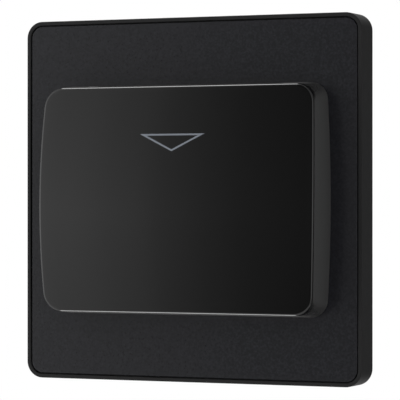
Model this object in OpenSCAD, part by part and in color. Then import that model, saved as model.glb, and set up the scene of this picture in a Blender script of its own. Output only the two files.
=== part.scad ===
// Hotel key card switch: a square clip-on wall plate with a raised cover for the card.
// Millimetres, +Z up, the front faces -Y. The origin is the centre of the wall plane.
// Depths in front of the wall run outwards along -Y, places in the wall box along +Y.

/* [Card] */
// Width of the key card
card_w = 54; // [50:0.5:60]
// Play beside the card, on each side
card_play = 1.5; // [0.5:0.1:3]
// Depth of the slot that the guide ribs leave for the card
card_slot = 1.6; // [1.2:0.1:2.4]

/* [Wall plate] */
// Width of the plate
plate_w = 95; // [88:0.5:120]
// Height of the plate
plate_h = 95; // [88:0.5:120]
// How far the plate stands off the wall
plate_t = 8.2; // [7.6:0.1:12]
// Corner radius of the plate
plate_r = 4.4; // [3:0.1:8]
// Width of the rim round the face plate
rim_w = 1; // [0.8:0.1:2]
// Width of the groove between the rim and the face plate
rim_groove = 0.3; // [0.1:0.05:0.6]
// Thickness of the frame's side walls
frame_wall = 1.8; // [1.2:0.1:2.6]
// Thickness of the web that carries the face plate
web_t = 2; // [1.4:0.1:2.6]
// Thickness of the face plate
face_t = 1; // [0.6:0.1:1.4]
// How far the face plate lies below the rim
face_recess = 0.2; // [0:0.05:0.5]

/* [Card cover] */
// Height of the cover
cover_h = 60; // [54:0.5:72]
// Depth of the cover at its crown, in front of the face plate
cover_depth = 12.4; // [10.5:0.1:16]
// Width of the cover on each side of the card slot
cover_flank = 10.6; // [9.6:0.1:13]
// Wall thickness of the cover
cover_wall = 2; // [1.4:0.1:2.6]
// Corner radius of the cover
cover_r = 5; // [3.5:0.1:8]
// How far each side bows out between its corners
cover_bow = 0.75; // [0.2:0.05:1.2]
// How far each side leans in between the plate and the front
cover_draft = 0.6; // [0.2:0.05:1.2]
// Radius of the front from top to bottom
crown_r = 216; // [150:1:400]
// Radius of the front from side to side
dome_r = 530; // [420:1:1200]
// Height of the front's proudest line
crown_z = -3.9; // [-8:0.1:8]
// Thickness of the pocket's side walls
pocket_wall = 1.6; // [1:0.1:2]
// Thickness of the ribs that hold the card to the bed
guide_t = 1.2; // [0.8:0.1:2]
// How far the ribs stand in from the card's edges
guide_inset = 2; // [1:0.1:5]
// Thickness of the hooks that hold the cover
hook_t = 1.2; // [0.8:0.1:1.6]
// Width of each hook
hook_w = 6; // [4:0.5:8]
// Height of the hooks above and below the middle
hook_z = 15; // [12:0.5:16]
// How far each hook reaches under the bed
hook_catch = 1.2; // [0.6:0.1:1.6]

/* [Arrow] */
// Width of the arrow outline
arrow_w = 18.2; // [12:0.1:30]
// Height of the arrow outline
arrow_h = 4.5; // [3:0.1:10]
// Width of the arrow's line
arrow_line = 0.5; // [0.3:0.05:0.9]
// Height of the arrow's top edge
arrow_z = 16.9; // [12:0.1:20]
// Depth of the inlay
arrow_t = 0.5; // [0.3:0.05:0.9]

/* [Bed] */
// How far the bed stands out of the face plate
bed_proud = 1.6; // [1:0.1:2.5]
// Thickness of the bed and its flange
bed_t = 2; // [1.4:0.1:2.4]
// Thickness of the bed's skirt
skirt_t = 1.6; // [1.2:0.1:1.8]
// Gap between the bed's edge and the cover's wall
bed_gap = 1.3; // [0.6:0.1:2]
// Gap between the bed and the plate's cut-out
cut_gap = 0.25; // [0.1:0.05:0.5]
// How far the flange reaches behind the plate
flange_lap = 2; // [1:0.1:3]
// Thickness of the flange
flange_t = 1.6; // [1:0.1:1.8]
// Radius of the holes that give a driver access to the fixing screws
access_r = 3.6; // [3.5:0.1:4]
// Side of the square legs that hold the board down
leg_w = 4; // [3:0.1:5]
// Outer radius of the bosses for the housing screws
boss_r = 3.2; // [2.4:0.1:3.6]

/* [Lever] */
// Height of the lever's pivot
pivot_z = -6; // [-7.5:0.1:-5]
// How far the pivot lies behind the bed
pivot_set_back = 4; // [3.4:0.1:5]
// How far the nose lies below the pivot
nose_drop = 9.5; // [8.5:0.1:10.5]
// How far the nose stands out of the bed
nose_proud = 3; // [2:0.1:3.6]
// Radius of the nose's tip
nose_r = 0.8; // [0.4:0.05:1]
// Height of the nose where it leaves the arm
nose_h = 5.6; // [4:0.1:6]
// Width of the lever
lever_w = 6; // [4:0.1:8]
// Thickness of the lever's arm
arm_t = 3; // [2:0.1:3.6]
// Radius of the lever's hub
hub_r = 2.6; // [2:0.1:3]
// Radius of the pivot pin
pin_r = 1; // [0.8:0.05:1.2]
// Running clearance of the lever on its pin
pin_clear = 0.05; // [0.02:0.01:0.1]
// Thickness of the ears that hold the pin
ear_t = 2; // [1.4:0.1:3]
// Gap between the lever and what stands beside it
side_gap = 0.4; // [0.3:0.05:0.6]
// How far the switch plunger lies below the pivot
plunger_drop = 5; // [4:0.1:5.5]
// Radius of the pad that presses the plunger
pad_r = 1.2; // [0.8:0.1:1.6]
// Gap between the pad and the plunger at rest
pad_gap = 0.25; // [0.2:0.01:0.4]

/* [Lever spring] */
// Diameter of the spring wire
wire_d = 0.5; // [0.4:0.05:0.6]
// Gap between the spring and the pin
coil_gap = 0.35; // [0.3:0.05:0.5]
// Distance from curl to curl
coil_pitch = 1.1; // [1.05:0.05:1.4]
// Whole curls in the spring, before its last half
coil_turns = 3; // [2:1:5]
// Length of each spring leg
spring_leg = 6; // [5:0.1:7]

/* [Strap and fixings] */
// Thickness of the strap
strap_t = 1.2; // [0.8:0.1:1.5]
// How far the strap reaches past the housing, above and below
strap_lap = 1; // [0.5:0.1:4]
// Gap between the flange and the strap's clip ears
clip_gap = 0.6; // [0.3:0.1:1.2]
// Width of each clip ear
clip_w = 12; // [9:0.5:16]
// Height of the clip ears above and below the middle
clip_z = 18; // [14:0.5:22]
// Thickness of the frame's clip arms
clip_arm_t = 1.5; // [1:0.1:2]
// Play between clip and ear
clip_play = 0.2; // [0.1:0.05:0.3]
// Distance between the fixing screws
fixing_centres = 60.3; // [58.5:0.1:61]
// Radius of the fixing screws
fixing_r = 1.75; // [1.5:0.05:2]
// Radius of the fixing screws' captive necks
fixing_neck_r = 1.5; // [1.2:0.05:1.7]
// Play of the fixing screws in the strap
fixing_play = 0.45; // [0.3:0.05:0.8]
// Length of the fixing screws behind the strap
fixing_l = 24; // [15:0.5:40]
// Radius of the fixing screws' heads
fixing_head_r = 3.2; // [2.8:0.1:3.4]
// Height of the fixing screws' heads
fixing_head_h = 2.2; // [1.5:0.1:2.6]

/* [Housing] */
// Width of the housing
housing_w = 50; // [46:0.5:52]
// Height of the housing
housing_h = 62; // [60:0.5:66]
// Wall thickness of the housing
housing_wall = 2; // [1.4:0.1:2.4]
// Radius of the housing's upright edges
housing_r = 2; // [0.5:0.1:3]
// Room between the tallest part on the board and the back wall
back_room = 1.1; // [0.5:0.1:4]
// Thickness of the lugs for the housing screws
lug_t = 2.5; // [1.5:0.1:4]
// Radius of the lugs
lug_r = 3.6; // [3:0.1:4]
// Height of the housing screws above and below the middle
lug_z = 22; // [21:0.1:22.5]
// Radius of the housing screws
tie_r = 1.25; // [1:0.05:1.5]
// Play of the housing screws
tie_play = 0.05; // [0.02:0.01:0.1]
// Radius of the housing screws' heads
tie_head_r = 2.4; // [2:0.1:3]
// Height of the housing screws' heads
tie_head_h = 1.8; // [1.2:0.1:2.4]
// Length of the housing screws inside the bed's bosses
tie_bite = 5; // [3:0.1:5.2]

/* [Board] */
// Thickness of the circuit board
board_t = 1.6; // [1:0.1:2]
// Gap between the board and the housing's walls
board_gap = 0.4; // [0.2:0.1:0.8]
// Distance from the wall plane to the front of the snap switch
switch_set_back = 2.2; // [1.8:0.1:3]
// Depth of the relay behind the board
relay_depth = 15; // [10:0.1:20]
// Width of the relay
relay_w = 28.6; // [18:0.1:29]
// Height of the relay
relay_h = 12.6; // [10:0.1:13]
// Radius of the light guide
guide_rod_r = 3; // [2:0.1:3.4]
// Play of the light guide in the bed
guide_rod_play = 0.1; // [0.05:0.05:0.3]
// Height of the locator light above the board
led_h = 2.5; // [1.5:0.1:4]

/* [Snap switch] */
// Length of the switch case
switch_w = 19.8; // [19:0.1:21]
// Thickness of the switch case and lid
switch_h = 6.4; // [6:0.1:7]
// Depth of the switch case
switch_depth = 9.1; // [8.8:0.1:10]
// Wall thickness of the switch case
switch_wall = 1.2; // [1:0.05:1.3]
// Thickness of the switch lid
lid_t = 1; // [0.6:0.1:1.4]
// Distance from the case's end to the plunger
plunger_inset = 7.4; // [7:0.1:7.6]
// Radius of the plunger
plunger_r = 1.2; // [0.8:0.05:1.3]
// Running clearance of the plunger
plunger_clear = 0.1; // [0.05:0.01:0.1]
// How far the plunger stands out of the case
plunger_proud = 1.6; // [1.5:0.05:1.8]
// Thickness of the contact blade
blade_t = 0.3; // [0.2:0.02:0.4]
// Width of the contact blade and the terminals
blade_w = 1.6; // [1.2:0.1:2]
// Depth of the blade inside the case
blade_set_back = 3.2; // [3.1:0.05:3.4]
// Thickness of the switch terminals
tag_t = 0.6; // [0.4:0.05:0.8]
// How far the terminals stand out behind the board
tag_proud = 1.3; // [0.8:0.1:2]

/* [Terminals] */
// Distance between the wire terminals
clamp_pitch = 15; // [13:0.1:15.5]
// Width of each clamp
clamp_w = 8.8; // [7:0.1:9.4]
// Height of each clamp
clamp_h = 9.3; // [8:0.1:10]
// Depth of each clamp
clamp_depth = 9.5; // [8.5:0.1:12]
// Radius of the wire holes
wire_r = 2.1; // [1.5:0.05:2.3]
// Gap between a clamp and its well
well_gap = 0.8; // [0.3:0.1:1]
// How far a clamp lies inside its well
clamp_inset = 1.5; // [0.5:0.1:3]
// Radius of the terminal screws
screw_r = 1.6; // [1.2:0.05:1.75]
// Play of the terminal screws in their threads
screw_play = 0.05; // [0.02:0.01:0.1]
// Radius of the terminal screws' heads
screw_head_r = 2.7; // [2.2:0.1:3.2]
// Height of the terminal screws' heads
screw_head_h = 2.4; // [1.6:0.1:3]
// How far the terminal screws stand out of their clamps
screw_proud = 0.6; // [0.3:0.1:2]
// Width of the clamps' solder tails
tail_w = 3.2; // [2:0.1:4]
// Thickness of the clamps' solder tails
tail_t = 0.8; // [0.5:0.05:1]
// Side of the earth clamp
earth_w = 7; // [6.2:0.1:7.4]
// Height of the earth clamp above the middle
earth_z = 12.5; // [11:0.1:13]
// Distance of the earth clamp from the housing
earth_gap = 2.5; // [1.5:0.1:3.5]

/* [Hidden] */
$fn = 64;
// Segments of the large arcs on the cover
arc_fn = 720;
// Overlap that joins shapes of one piece
eps = 0.3;
// Clearance of a pin held fast in its ears
held_clear = 0.02;
// Gap between parts that touch lightly, such as a spring leg and its stop
touch_gap = 0.1;
// Overcut where a hole runs out of a face
past = 1;
// Least radius of an inside corner
least_r = 0.5;

// Depths in front of the wall
face_front = plate_t - face_recess;
face_back = face_front - face_t;
web_back = face_back - web_t;
flange_back = web_back - flange_t;
bed_front = face_front + bed_proud;
bed_back = bed_front - bed_t;
pivot_d = bed_back - pivot_set_back;

// Outline of cover and pocket
slot_w = card_w + 2 * card_play;
cover_w = slot_w + 2 * cover_flank;
inner_w = cover_w - 2 * (cover_wall + cover_draft);
inner_h = cover_h - 2 * (cover_wall + cover_draft);
inner_r = max(cover_r - cover_wall, least_r);
corner_steps = 8;
bow_steps = 8;
guide_x = card_w / 2 - guide_inset - guide_t / 2;
guide_lead = 4;
rib_gap = 0.2;
mouth_front = face_front + front_depth(slot_w / 2, cover_h / 2) - cover_wall;

// Bed, plate cut-out and flange
bed_w = inner_w - 2 * bed_gap;
bed_h = inner_h - 2 * bed_gap;
bed_r = 2.5;
cut_w = bed_w + 2 * cut_gap;
cut_h = bed_h + 2 * cut_gap;
flange_w = bed_w + 2 * flange_lap;
flange_h = bed_h + 2 * flange_lap;
hook_play = 0.2;
hook_x = bed_w / 2 - skirt_t - hook_t - 4 * hook_play;

// Strap, its clip ears and the frame's clip arms
strap_w = flange_w + 2 * (clip_gap + strap_t);
strap_h = housing_h + 2 * strap_lap;
ear_room = 0.6;
ear_top = web_back - ear_room;
ear_edge = 0.8;
catch_low = strap_t + ear_edge;
catch_high = ear_top - ear_edge;
catch_edge = 2;
clip_foot = 0.4;
fixing_slot = 0.9;

// Lever
nose_z = pivot_z - nose_drop;
nose_tip = bed_front + nose_proud;
switch_z = pivot_z - plunger_drop;
plunger_tip = switch_set_back - plunger_proud;
pad_y = plunger_tip - pad_gap;
arm_front = -pivot_d - arm_t / 2;
arm_back = -pivot_d + arm_t / 2;
window_gap = 1;

// Lever spring: the coil stands on the pin beside the hub
coil_r = pin_r + coil_gap + wire_d / 2;
coil_x = lever_w / 2 + side_gap + wire_d;
coil_l = (coil_turns + 0.5) * coil_pitch;
coil_rings = 12;
wire_sides = 6;
tab_w = side_gap + 2 * wire_d;
tab_h = 2;
tab_z = pivot_z - spring_leg + tab_h / 2 + touch_gap;
leg_y = -pivot_d + coil_r;
ear_left = -lever_w / 2 - side_gap - ear_t;
ear_right = coil_x + coil_l + wire_d;
pin_end = 0.4;

// Housing and board
board_front = switch_set_back + switch_depth;
board_back = board_front + board_t;
housing_depth = board_back + relay_depth + back_room + housing_wall;
hollow_w = housing_w - 2 * housing_wall;
hollow_top = housing_h / 2 - housing_wall;
well_end_gap = 0.2;
well_top = -housing_h / 2 + clamp_inset + clamp_h + well_end_gap;
hollow_bottom = well_top + housing_wall;
well_w = clamp_w + 2 * well_gap;
clamp_lead = 0.9;
clamp_front = board_back - clamp_lead;
clamp_back = clamp_front + clamp_depth;
clamp_seat = 2.35;
clamp_bottom = -housing_h / 2 + clamp_inset;
clamp_top = clamp_bottom + clamp_h;
clamp_xs = [-clamp_pitch, 0, clamp_pitch];
clamp_screw_z = (clamp_bottom + clamp_top) / 2;
tail_gap = 0.3;
tip_gap = 0.2;
wire_y = clamp_front + clamp_seat + wire_r;
tail_lap = 3.4;
tail_top = hollow_bottom + tail_lap;
leg_edge_x = 1;
leg_edge_z = 1.5;
leg_x = hollow_w / 2 - leg_w / 2 - leg_edge_x;
leg_zs = [hollow_bottom + leg_w / 2 + leg_edge_z, bed_h / 2 - leg_w / 2 - leg_edge_z];
lug_out = 3;
lug_x = housing_w / 2 + lug_out;
lug_hole_play = 0.3;

// Earth clamp on the strap, beside the housing
earth_x = -housing_w / 2 - earth_gap - earth_w / 2;
earth_y = earth_w / 2;
earth_wire_r = 1.8;
rivet_r = 1.2;

// Places on the board
light_z = arrow_z - arrow_h / 2;
rod_gap = 0.4;
tag_room = 1.2;
part_gap = 2;
relay_z = switch_z + blade_w / 2 + tag_room;
supply_z = relay_z + relay_h + part_gap;
can_r = 5;
can_h = 12;
can_edge = 6;
can_x = hollow_w / 2 - can_r - can_edge;
film_w = 18;
film_h = 8;
film_depth = 13;
surge_r = 4.5;
surge_t = 4;
pin_wire_r = 0.4;
wire_stub = 1;

// Inside of the snap switch
case_x0 = -plunger_inset;
case_x1 = case_x0 + switch_w;
case_z0 = switch_z - switch_h / 2;
case_z1 = case_z0 + switch_h - lid_t;
tag_rest_gap = 1.2;
room_x0 = case_x0 + switch_wall;
room_x1 = case_x1 - switch_wall;
room_y0 = switch_set_back + switch_wall;
room_y1 = board_front - switch_wall;
blade_y = room_y0 + blade_set_back;
blade_end_gap = 1.6;
blade_pivot_x = room_x1 - blade_end_gap;
blade_tip_x = room_x0 + touch_gap + tag_t + tag_rest_gap;
dot_r = 0.7;
dot_h = 0.3;
dot_inset = 0.2;
dot_x = blade_tip_x + dot_r + dot_inset;
tag_gap = 0.1;
tag_step = 0.8;
blade_root = 1;
eye_r = 0.45;
// Swing of the blade when the lever is pushed right in, in radians
blade_swing = 0.126;
blade_throw = (blade_pivot_x - dot_x) * blade_swing;
plunger_gap = 0.2;

// Places of the terminals: rest contact in front of the blade, working contact behind it
dot_gap = 0.15;
nc_x = room_x0 + touch_gap;
no_x = dot_x + dot_r + tag_step;
com_x = blade_pivot_x - tag_t / 2;
nc_y = blade_y - dot_h - dot_gap - tag_t;
no_y = blade_y + blade_t + dot_h + blade_throw + dot_gap;
com_y = blade_y + blade_t / 2 + eye_r + plunger_gap;

// Depth of the cover's front at a place on the plate, measured from the face plate
function crown_fall(z) = crown_r - sqrt(pow(crown_r, 2) - pow(z - crown_z, 2));
function front_depth(x, z) = cover_depth - dome_r + sqrt(pow(dome_r - crown_fall(z), 2) - pow(x, 2));

// Half-width of a bowed outline at height z
function bowed_x(w, h, r, z) = w / 2 - cover_bow * pow(z / (h / 2 - r), 2);

// Points of a rounded outline with bowed sides, anticlockwise from the right side's foot
function bowed_outline(w, h, r) =
    let (
        side_z = h / 2 - r,
        corner_x = bowed_x(w, h, r, side_z) - r,
        right = [for (i = [0 : bow_steps])
            let (z = side_z * (2 * i / bow_steps - 1))
            [bowed_x(w, h, r, z), z]],
        corner = [for (i = [1 : corner_steps])
            let (a = 90 * i / corner_steps)
            [corner_x + r * cos(a), side_z + r * sin(a)]],
        upper = concat(right, corner)
    )
    concat(
        [for (i = [corner_steps : -1 : 1]) [corner[i - 1].x, -corner[i - 1].y]],
        upper,
        [for (i = [len(upper) - 1 : -1 : 0]) [-upper[i].x, upper[i].y]],
        [for (p = corner) [-p.x, -p.y]]
    );

// Solids between two depths in front of the wall, from a shape in X and Z
module slab(low, high)
    translate([0, -low, 0]) rotate([90, 0, 0]) linear_extrude(high - low) children();

// Solids between two places along Y, from a shape in X and Z
module behind(y0, y1) slab(-y1, -y0) children();

// Solids between two places along X, from a shape in Y and Z
module across(x0, x1)
    translate([x0, 0, 0]) rotate([90, 0, 90]) linear_extrude(x1 - x0) children();

module block(x0, x1, y0, y1, z0, z1)
    translate([x0, y0, z0]) cube([x1 - x0, y1 - y0, z1 - z0]);

module rod_x(x0, x1, y, z, r)
    translate([x0, y, z]) rotate([0, 90, 0]) cylinder(r = r, h = x1 - x0);

module rod_y(y0, y1, x, z, r)
    translate([x, y1, z]) rotate([90, 0, 0]) cylinder(r = r, h = y1 - y0);

module rod_z(z0, z1, x, y, r)
    translate([x, y, z0]) cylinder(r = r, h = z1 - z0);

module round_rect(w, h, r) {
    square([w - 2 * r, h], center = true);
    square([w, h - 2 * r], center = true);
    for (x = [-1, 1], z = [-1, 1])
        translate([x * (w / 2 - r), z * (h / 2 - r)]) circle(r);
}

module rect(x0, x1, z0, z1) translate([x0, z0]) square([x1 - x0, z1 - z0]);

// Copies a shape to the left and right
module both_sides()
    for (side = [0, 1]) mirror([side, 0, 0]) children();

// Copies a shape to the four quarters of the plate
module four_ways()
    for (x = [0, 1], z = [0, 1]) mirror([x, 0, 0]) mirror([0, 0, z]) children();

// Barrel whose outside is the cover's front, set in by a wall
module front_barrel(inset) {
    axis_y = -(face_front + cover_depth - dome_r);
    reach = 2 * cover_h;
    translate([0, axis_y, 0])
        rotate_extrude($fn = arc_fn)
            intersection() {
                translate([dome_r - crown_r, crown_z]) circle(crown_r - inset, $fn = arc_fn);
                translate([dome_r - crown_r, -reach / 2]) square([crown_r, reach]);
            }
}

// Drafted block of the cover, before its front is shaped
module cover_block() {
    tall = cover_depth + past;
    lean = cover_draft * tall / cover_depth;
    slim = [(cover_w - 2 * lean) / cover_w, (cover_h - 2 * lean) / cover_h];
    translate([0, -face_front, 0]) rotate([90, 0, 0])
        linear_extrude(tall, scale = slim, slices = 1) polygon(bowed_outline(cover_w, cover_h, cover_r));
}

// Keeps what lies behind the cover's front, set in by a wall
module within_front(inset)
    intersection() {
        children();
        front_barrel(inset);
    }

// Outline of the arrow, a downward triangle with a line of even width
module arrow_outline() {
    edge = sqrt(pow(arrow_w / 2, 2) + pow(arrow_h, 2));
    in_radius = arrow_w * arrow_h / (arrow_w + 2 * edge);
    shrink = 1 - arrow_line / in_radius;
    tips = [[-arrow_w / 2, arrow_z], [0, arrow_z - arrow_h], [arrow_w / 2, arrow_z]];
    middle = [0, arrow_z - in_radius];
    difference() {
        polygon(tips);
        polygon([for (tip = tips) middle + (tip - middle) * shrink]);
    }
}

module arrow_prism()
    slab(face_front, face_front + cover_depth + past) arrow_outline();

// A screw along Y with a slotted head, its head standing towards +Y
module slotted_screw(x, z, seat_y, head_r, head_h, shank_r, shank_l) {
    notch = head_h / 3;
    difference() {
        rod_y(seat_y, seat_y + head_h, x, z, head_r);
        block(x - head_r, x + head_r, seat_y + head_h / 2, seat_y + 2 * head_h,
            z - notch / 2, z + notch / 2);
    }
    rod_y(seat_y - shank_l, seat_y + eps, x, z, shank_r);
}

// Frame with its rim, web and clip arms
module plate_frame() color("#1d1d1f") {
    difference() {
        slab(0, plate_t) round_rect(plate_w, plate_h, plate_r);
        slab(face_back, plate_t + past)
            round_rect(plate_w - 2 * rim_w, plate_h - 2 * rim_w, plate_r - rim_w);
        slab(-past, web_back)
            round_rect(plate_w - 2 * frame_wall, plate_h - 2 * frame_wall,
                max(plate_r - frame_wall, least_r));
        slab(0, plate_t) square([cut_w, cut_h], center = true);
    }
    arm_x = strap_w / 2 + clip_play;
    arm_half = clip_w / 2 - catch_edge - clip_play;
    four_ways() {
        slab(catch_low - clip_foot, web_back + eps)
            rect(arm_x, arm_x + clip_arm_t, clip_z - arm_half, clip_z + arm_half);
        slab(catch_low + clip_play, catch_high - clip_play)
            rect(arm_x - clip_play - strap_t, arm_x + eps, clip_z - arm_half, clip_z + arm_half);
    }
}

// Thin sheet in the frame
module face_plate() color("#29292b") {
    set_in = 2 * (rim_w + rim_groove);
    difference() {
        slab(face_back, face_front)
            round_rect(plate_w - set_in, plate_h - set_in, plate_r - set_in / 2);
        slab(0, plate_t) square([cut_w, cut_h], center = true);
    }
}

// Crowned cover with its card mouth, pocket walls, guide ribs and hooks
module card_cover() color("#0f0f10") {
    difference() {
        within_front(0) cover_block();
        within_front(cover_wall)
            slab(face_front - past, face_front + cover_depth)
                polygon(bowed_outline(inner_w, inner_h, inner_r));
        slab(bed_front, mouth_front) rect(-slot_w / 2, slot_w / 2, 0, cover_h);
        difference() {
            arrow_prism();
            front_barrel(arrow_t);
        }
    }
    within_front(cover_wall - eps) both_sides() {
        slab(bed_front + rib_gap, face_front + cover_depth)
            rect(slot_w / 2, slot_w / 2 + pocket_wall, -inner_h / 2 - eps, inner_h / 2 + eps);
        slab(bed_front + card_slot, face_front + cover_depth)
            rect(guide_x - guide_t / 2, guide_x + guide_t / 2,
                -inner_h / 2 - eps, inner_h / 2 - guide_lead);
        for (z = [-hook_z, hook_z])
            slab(bed_back - hook_play - hook_t, face_front + cover_depth)
                rect(hook_x, hook_x + hook_t, z - hook_w / 2, z + hook_w / 2);
    }
    four_ways()
        slab(bed_back - hook_play - hook_t, bed_back - hook_play)
            rect(hook_x - hook_catch, hook_x + eps, hook_z - hook_w / 2, hook_z + hook_w / 2);
}

// Translucent arrow line, flush with the cover's front
module arrow_inlay() color("#8b8f97")
    difference() {
        within_front(0) arrow_prism();
        front_barrel(arrow_t);
    }

// Bed with its skirt, flange, lever ears, board legs and screw bosses
module card_bed() color("#232325") {
    difference() {
        union() {
            slab(bed_back, bed_front) round_rect(bed_w, bed_h, bed_r);
            slab(strap_t, bed_front) bed_ring(bed_w, bed_h);
            slab(flange_back, web_back) bed_ring(flange_w, flange_h);
            four_ways() rod_y(-bed_back - eps, -strap_t, lug_x, lug_z, boss_r);
        }
        slab(0, bed_front + past) {
            rect(-lever_w / 2 - side_gap, lever_w / 2 + side_gap,
                nose_z - nose_h / 2 - window_gap, nose_z + nose_h / 2 + window_gap / 2);
            both_sides() translate([fixing_centres / 2, 0]) circle(access_r);
        }
        slab(bed_back - past, bed_front + past)
            both_sides() for (z = [-hook_z, hook_z])
                rect(hook_x - hook_play, hook_x + hook_t + hook_play,
                    z - hook_w / 2 - hook_play, z + hook_w / 2 + hook_play);
        rod_y(-bed_front - past, -bed_back + past, 0, light_z, guide_rod_r + guide_rod_play);
        four_ways() rod_y(-strap_t - tie_bite - eps, past, lug_x, lug_z, tie_r + tie_play);
    }
    for (x = [-1, 1], z = leg_zs)
        behind(-bed_back - eps, board_front)
            translate([x * leg_x, z]) square(leg_w, center = true);
    pin_ear(ear_left);
    pin_ear(ear_right);
}

// Ring between the bed's skirt and an outer rectangle
module bed_ring(w, h)
    difference() {
        round_rect(w, h, bed_r);
        square([bed_w - 2 * skirt_t, bed_h - 2 * skirt_t], center = true);
    }

// Ear behind the bed that holds one end of the lever's pin
module pin_ear(x)
    difference() {
        union() {
            rod_x(x, x + ear_t, -pivot_d, pivot_z, hub_r);
            block(x, x + ear_t, -bed_back - eps, -pivot_d, pivot_z - hub_r, pivot_z + hub_r);
        }
        rod_x(x - past, x + ear_t + past, -pivot_d, pivot_z, pin_r + held_clear);
    }

// Clear rod between the locator light and the bed
module light_guide() color("#dfe8ec") {
    collar_t = 1.2;
    collar_r = guide_rod_r + collar_t;
    rod_y(-bed_front, board_front - led_h - rod_gap, 0, light_z, guide_rod_r);
    rod_y(-bed_back, -bed_back + collar_t, 0, light_z, collar_r);
}

// Lever with its hub, nose, pad and spring tab
module actuator_lever() color("#3a3a3d") {
    difference() {
        union() {
            across(-lever_w / 2, lever_w / 2) {
                translate([-pivot_d, pivot_z]) circle(hub_r);
                polygon([[arm_front, pivot_z], [arm_front, nose_z - nose_h / 2],
                    [arm_back, nose_z - nose_h / 2], [arm_back, pivot_z]]);
                polygon([[arm_front + eps, nose_z + nose_h / 2], [-nose_tip + nose_r, nose_z + nose_r],
                    [-nose_tip + nose_r, nose_z - nose_r], [arm_front + eps, nose_z - nose_h / 2]]);
                translate([-nose_tip + nose_r, nose_z]) circle(nose_r);
            }
            rod_y(arm_back - eps, pad_y, 0, switch_z, pad_r);
            block(lever_w / 2 - eps, lever_w / 2 + tab_w, arm_front, leg_y - wire_d / 2 - touch_gap,
                tab_z - tab_h / 2, tab_z + tab_h / 2);
        }
        rod_x(-lever_w, lever_w, -pivot_d, pivot_z, pin_r + pin_clear);
    }
}

module lever_pin() color("#c4c7cb")
    rod_x(ear_left - pin_end, ear_right + ear_t + pin_end, -pivot_d, pivot_z, pin_r);

// Centre line of the lever spring: a leg up to the bed, the curls, and a leg down behind the tab
function coil_point(turn) =
    [coil_x + coil_l - coil_pitch * turn,
        -pivot_d - coil_r * cos(360 * turn),
        pivot_z - coil_r * sin(360 * turn)];
spring_path = concat(
    [[coil_x + coil_l, -bed_back + wire_d / 2 + touch_gap, pivot_z + spring_leg],
        [coil_x + coil_l, -pivot_d - coil_r - eps, pivot_z + spring_leg / 3]],
    [for (i = [0 : coil_rings * (coil_turns + 0.5)]) coil_point(i / coil_rings)],
    [[coil_x, leg_y, pivot_z - spring_leg / 2],
        [coil_x, leg_y, pivot_z - spring_leg]]
);

// Ring of points square to a path that never runs along X
function unit(v) = v / norm(v);
function path_heading(path, i) =
    unit(path[min(i + 1, len(path) - 1)] - path[max(i - 1, 0)]);
function wire_ring(path, i) =
    let (
        ahead = path_heading(path, i),
        side = unit(cross(ahead, [1, 0, 0])),
        up = cross(side, ahead)
    )
    [for (k = [0 : wire_sides - 1])
        let (a = 360 * k / wire_sides)
        path[i] + wire_d / 2 * (cos(a) * side + sin(a) * up)];

// Tube along a path, as triangles
module wire_tube(path) {
    n = len(path);
    s = wire_sides;
    points = [for (i = [0 : n - 1]) each wire_ring(path, i)];
    walls = [for (i = [0 : n - 2], k = [0 : s - 1])
        let (a = i * s + k, b = i * s + (k + 1) % s)
        each [[a, a + s, b], [b, a + s, b + s]]];
    ends = [for (k = [1 : s - 2]) each [[0, k, k + 1], [(n - 1) * s, (n - 1) * s + k + 1, (n - 1) * s + k]]];
    polyhedron(points, concat(walls, ends));
}

// Least gap of the spring to itself, between points at least half a curl apart
spring_gap = min([for (i = [0 : len(spring_path) - 1], j = [0 : len(spring_path) - 1])
    if (j - i >= coil_rings / 2) norm(spring_path[i] - spring_path[j]) - wire_d]);
echo(spring_gap = spring_gap);

module lever_spring() color("#b9bcc1") wire_tube(spring_path);

// Steel strap with its window, screw holes and clip ears
module mounting_strap() color("#a9adb3") {
    window_lap = 0.1;
    difference() {
        slab(0, strap_t) square([strap_w, strap_h], center = true);
        slab(-past, strap_t + past) {
            rect(-hollow_w / 2 + window_lap, hollow_w / 2 - window_lap,
                -hollow_top + window_lap, hollow_top - window_lap);
            both_sides() translate([fixing_centres / 2, 0]) circle(fixing_neck_r + fixing_play);
        }
        four_ways() rod_y(-strap_t - past, past, lug_x, lug_z, tie_r + lug_hole_play);
        rod_y(-strap_t - past, past, earth_x, earth_z, rivet_r + tie_play);
    }
    four_ways()
        difference() {
            slab(0, ear_top)
                rect(strap_w / 2 - strap_t, strap_w / 2, clip_z - clip_w / 2, clip_z + clip_w / 2);
            slab(catch_low, catch_high)
                rect(0, strap_w, clip_z - clip_w / 2 + catch_edge, clip_z + clip_w / 2 - catch_edge);
        }
}

// Two captive screws: head on the strap, slim neck through it, thread standing out behind
module fixing_screws() color("#c9ccd0")
    both_sides() {
        x = fixing_centres / 2;
        difference() {
            rod_y(-strap_t - fixing_head_h, -strap_t, x, 0, fixing_head_r);
            block(x - fixing_head_r, x + fixing_head_r, -strap_t - 2 * fixing_head_h,
                -strap_t - fixing_head_h / 2, -fixing_slot / 2, fixing_slot / 2);
        }
        rod_y(-strap_t - eps, eps, x, 0, fixing_neck_r);
        rod_y(0, fixing_l, x, 0, fixing_r);
    }

// Brass block riveted to the strap, with its wire hole along X
module earth_clamp() color("#c8a951") {
    rivet_head_r = 2;
    rivet_head_h = 0.6;
    difference() {
        block(earth_x - earth_w / 2, earth_x + earth_w / 2, 0, earth_w,
            earth_z - earth_w / 2, earth_z + earth_w / 2);
        rod_x(earth_x - earth_w, earth_x + earth_w, earth_y, earth_z, earth_wire_r);
        rod_y(earth_y, earth_w + past, earth_x, earth_z, screw_r + screw_play);
    }
    rod_y(-strap_t - eps, eps, earth_x, earth_z, rivet_r);
    rod_y(-strap_t - rivet_head_h, -strap_t, earth_x, earth_z, rivet_head_r);
}

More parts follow.
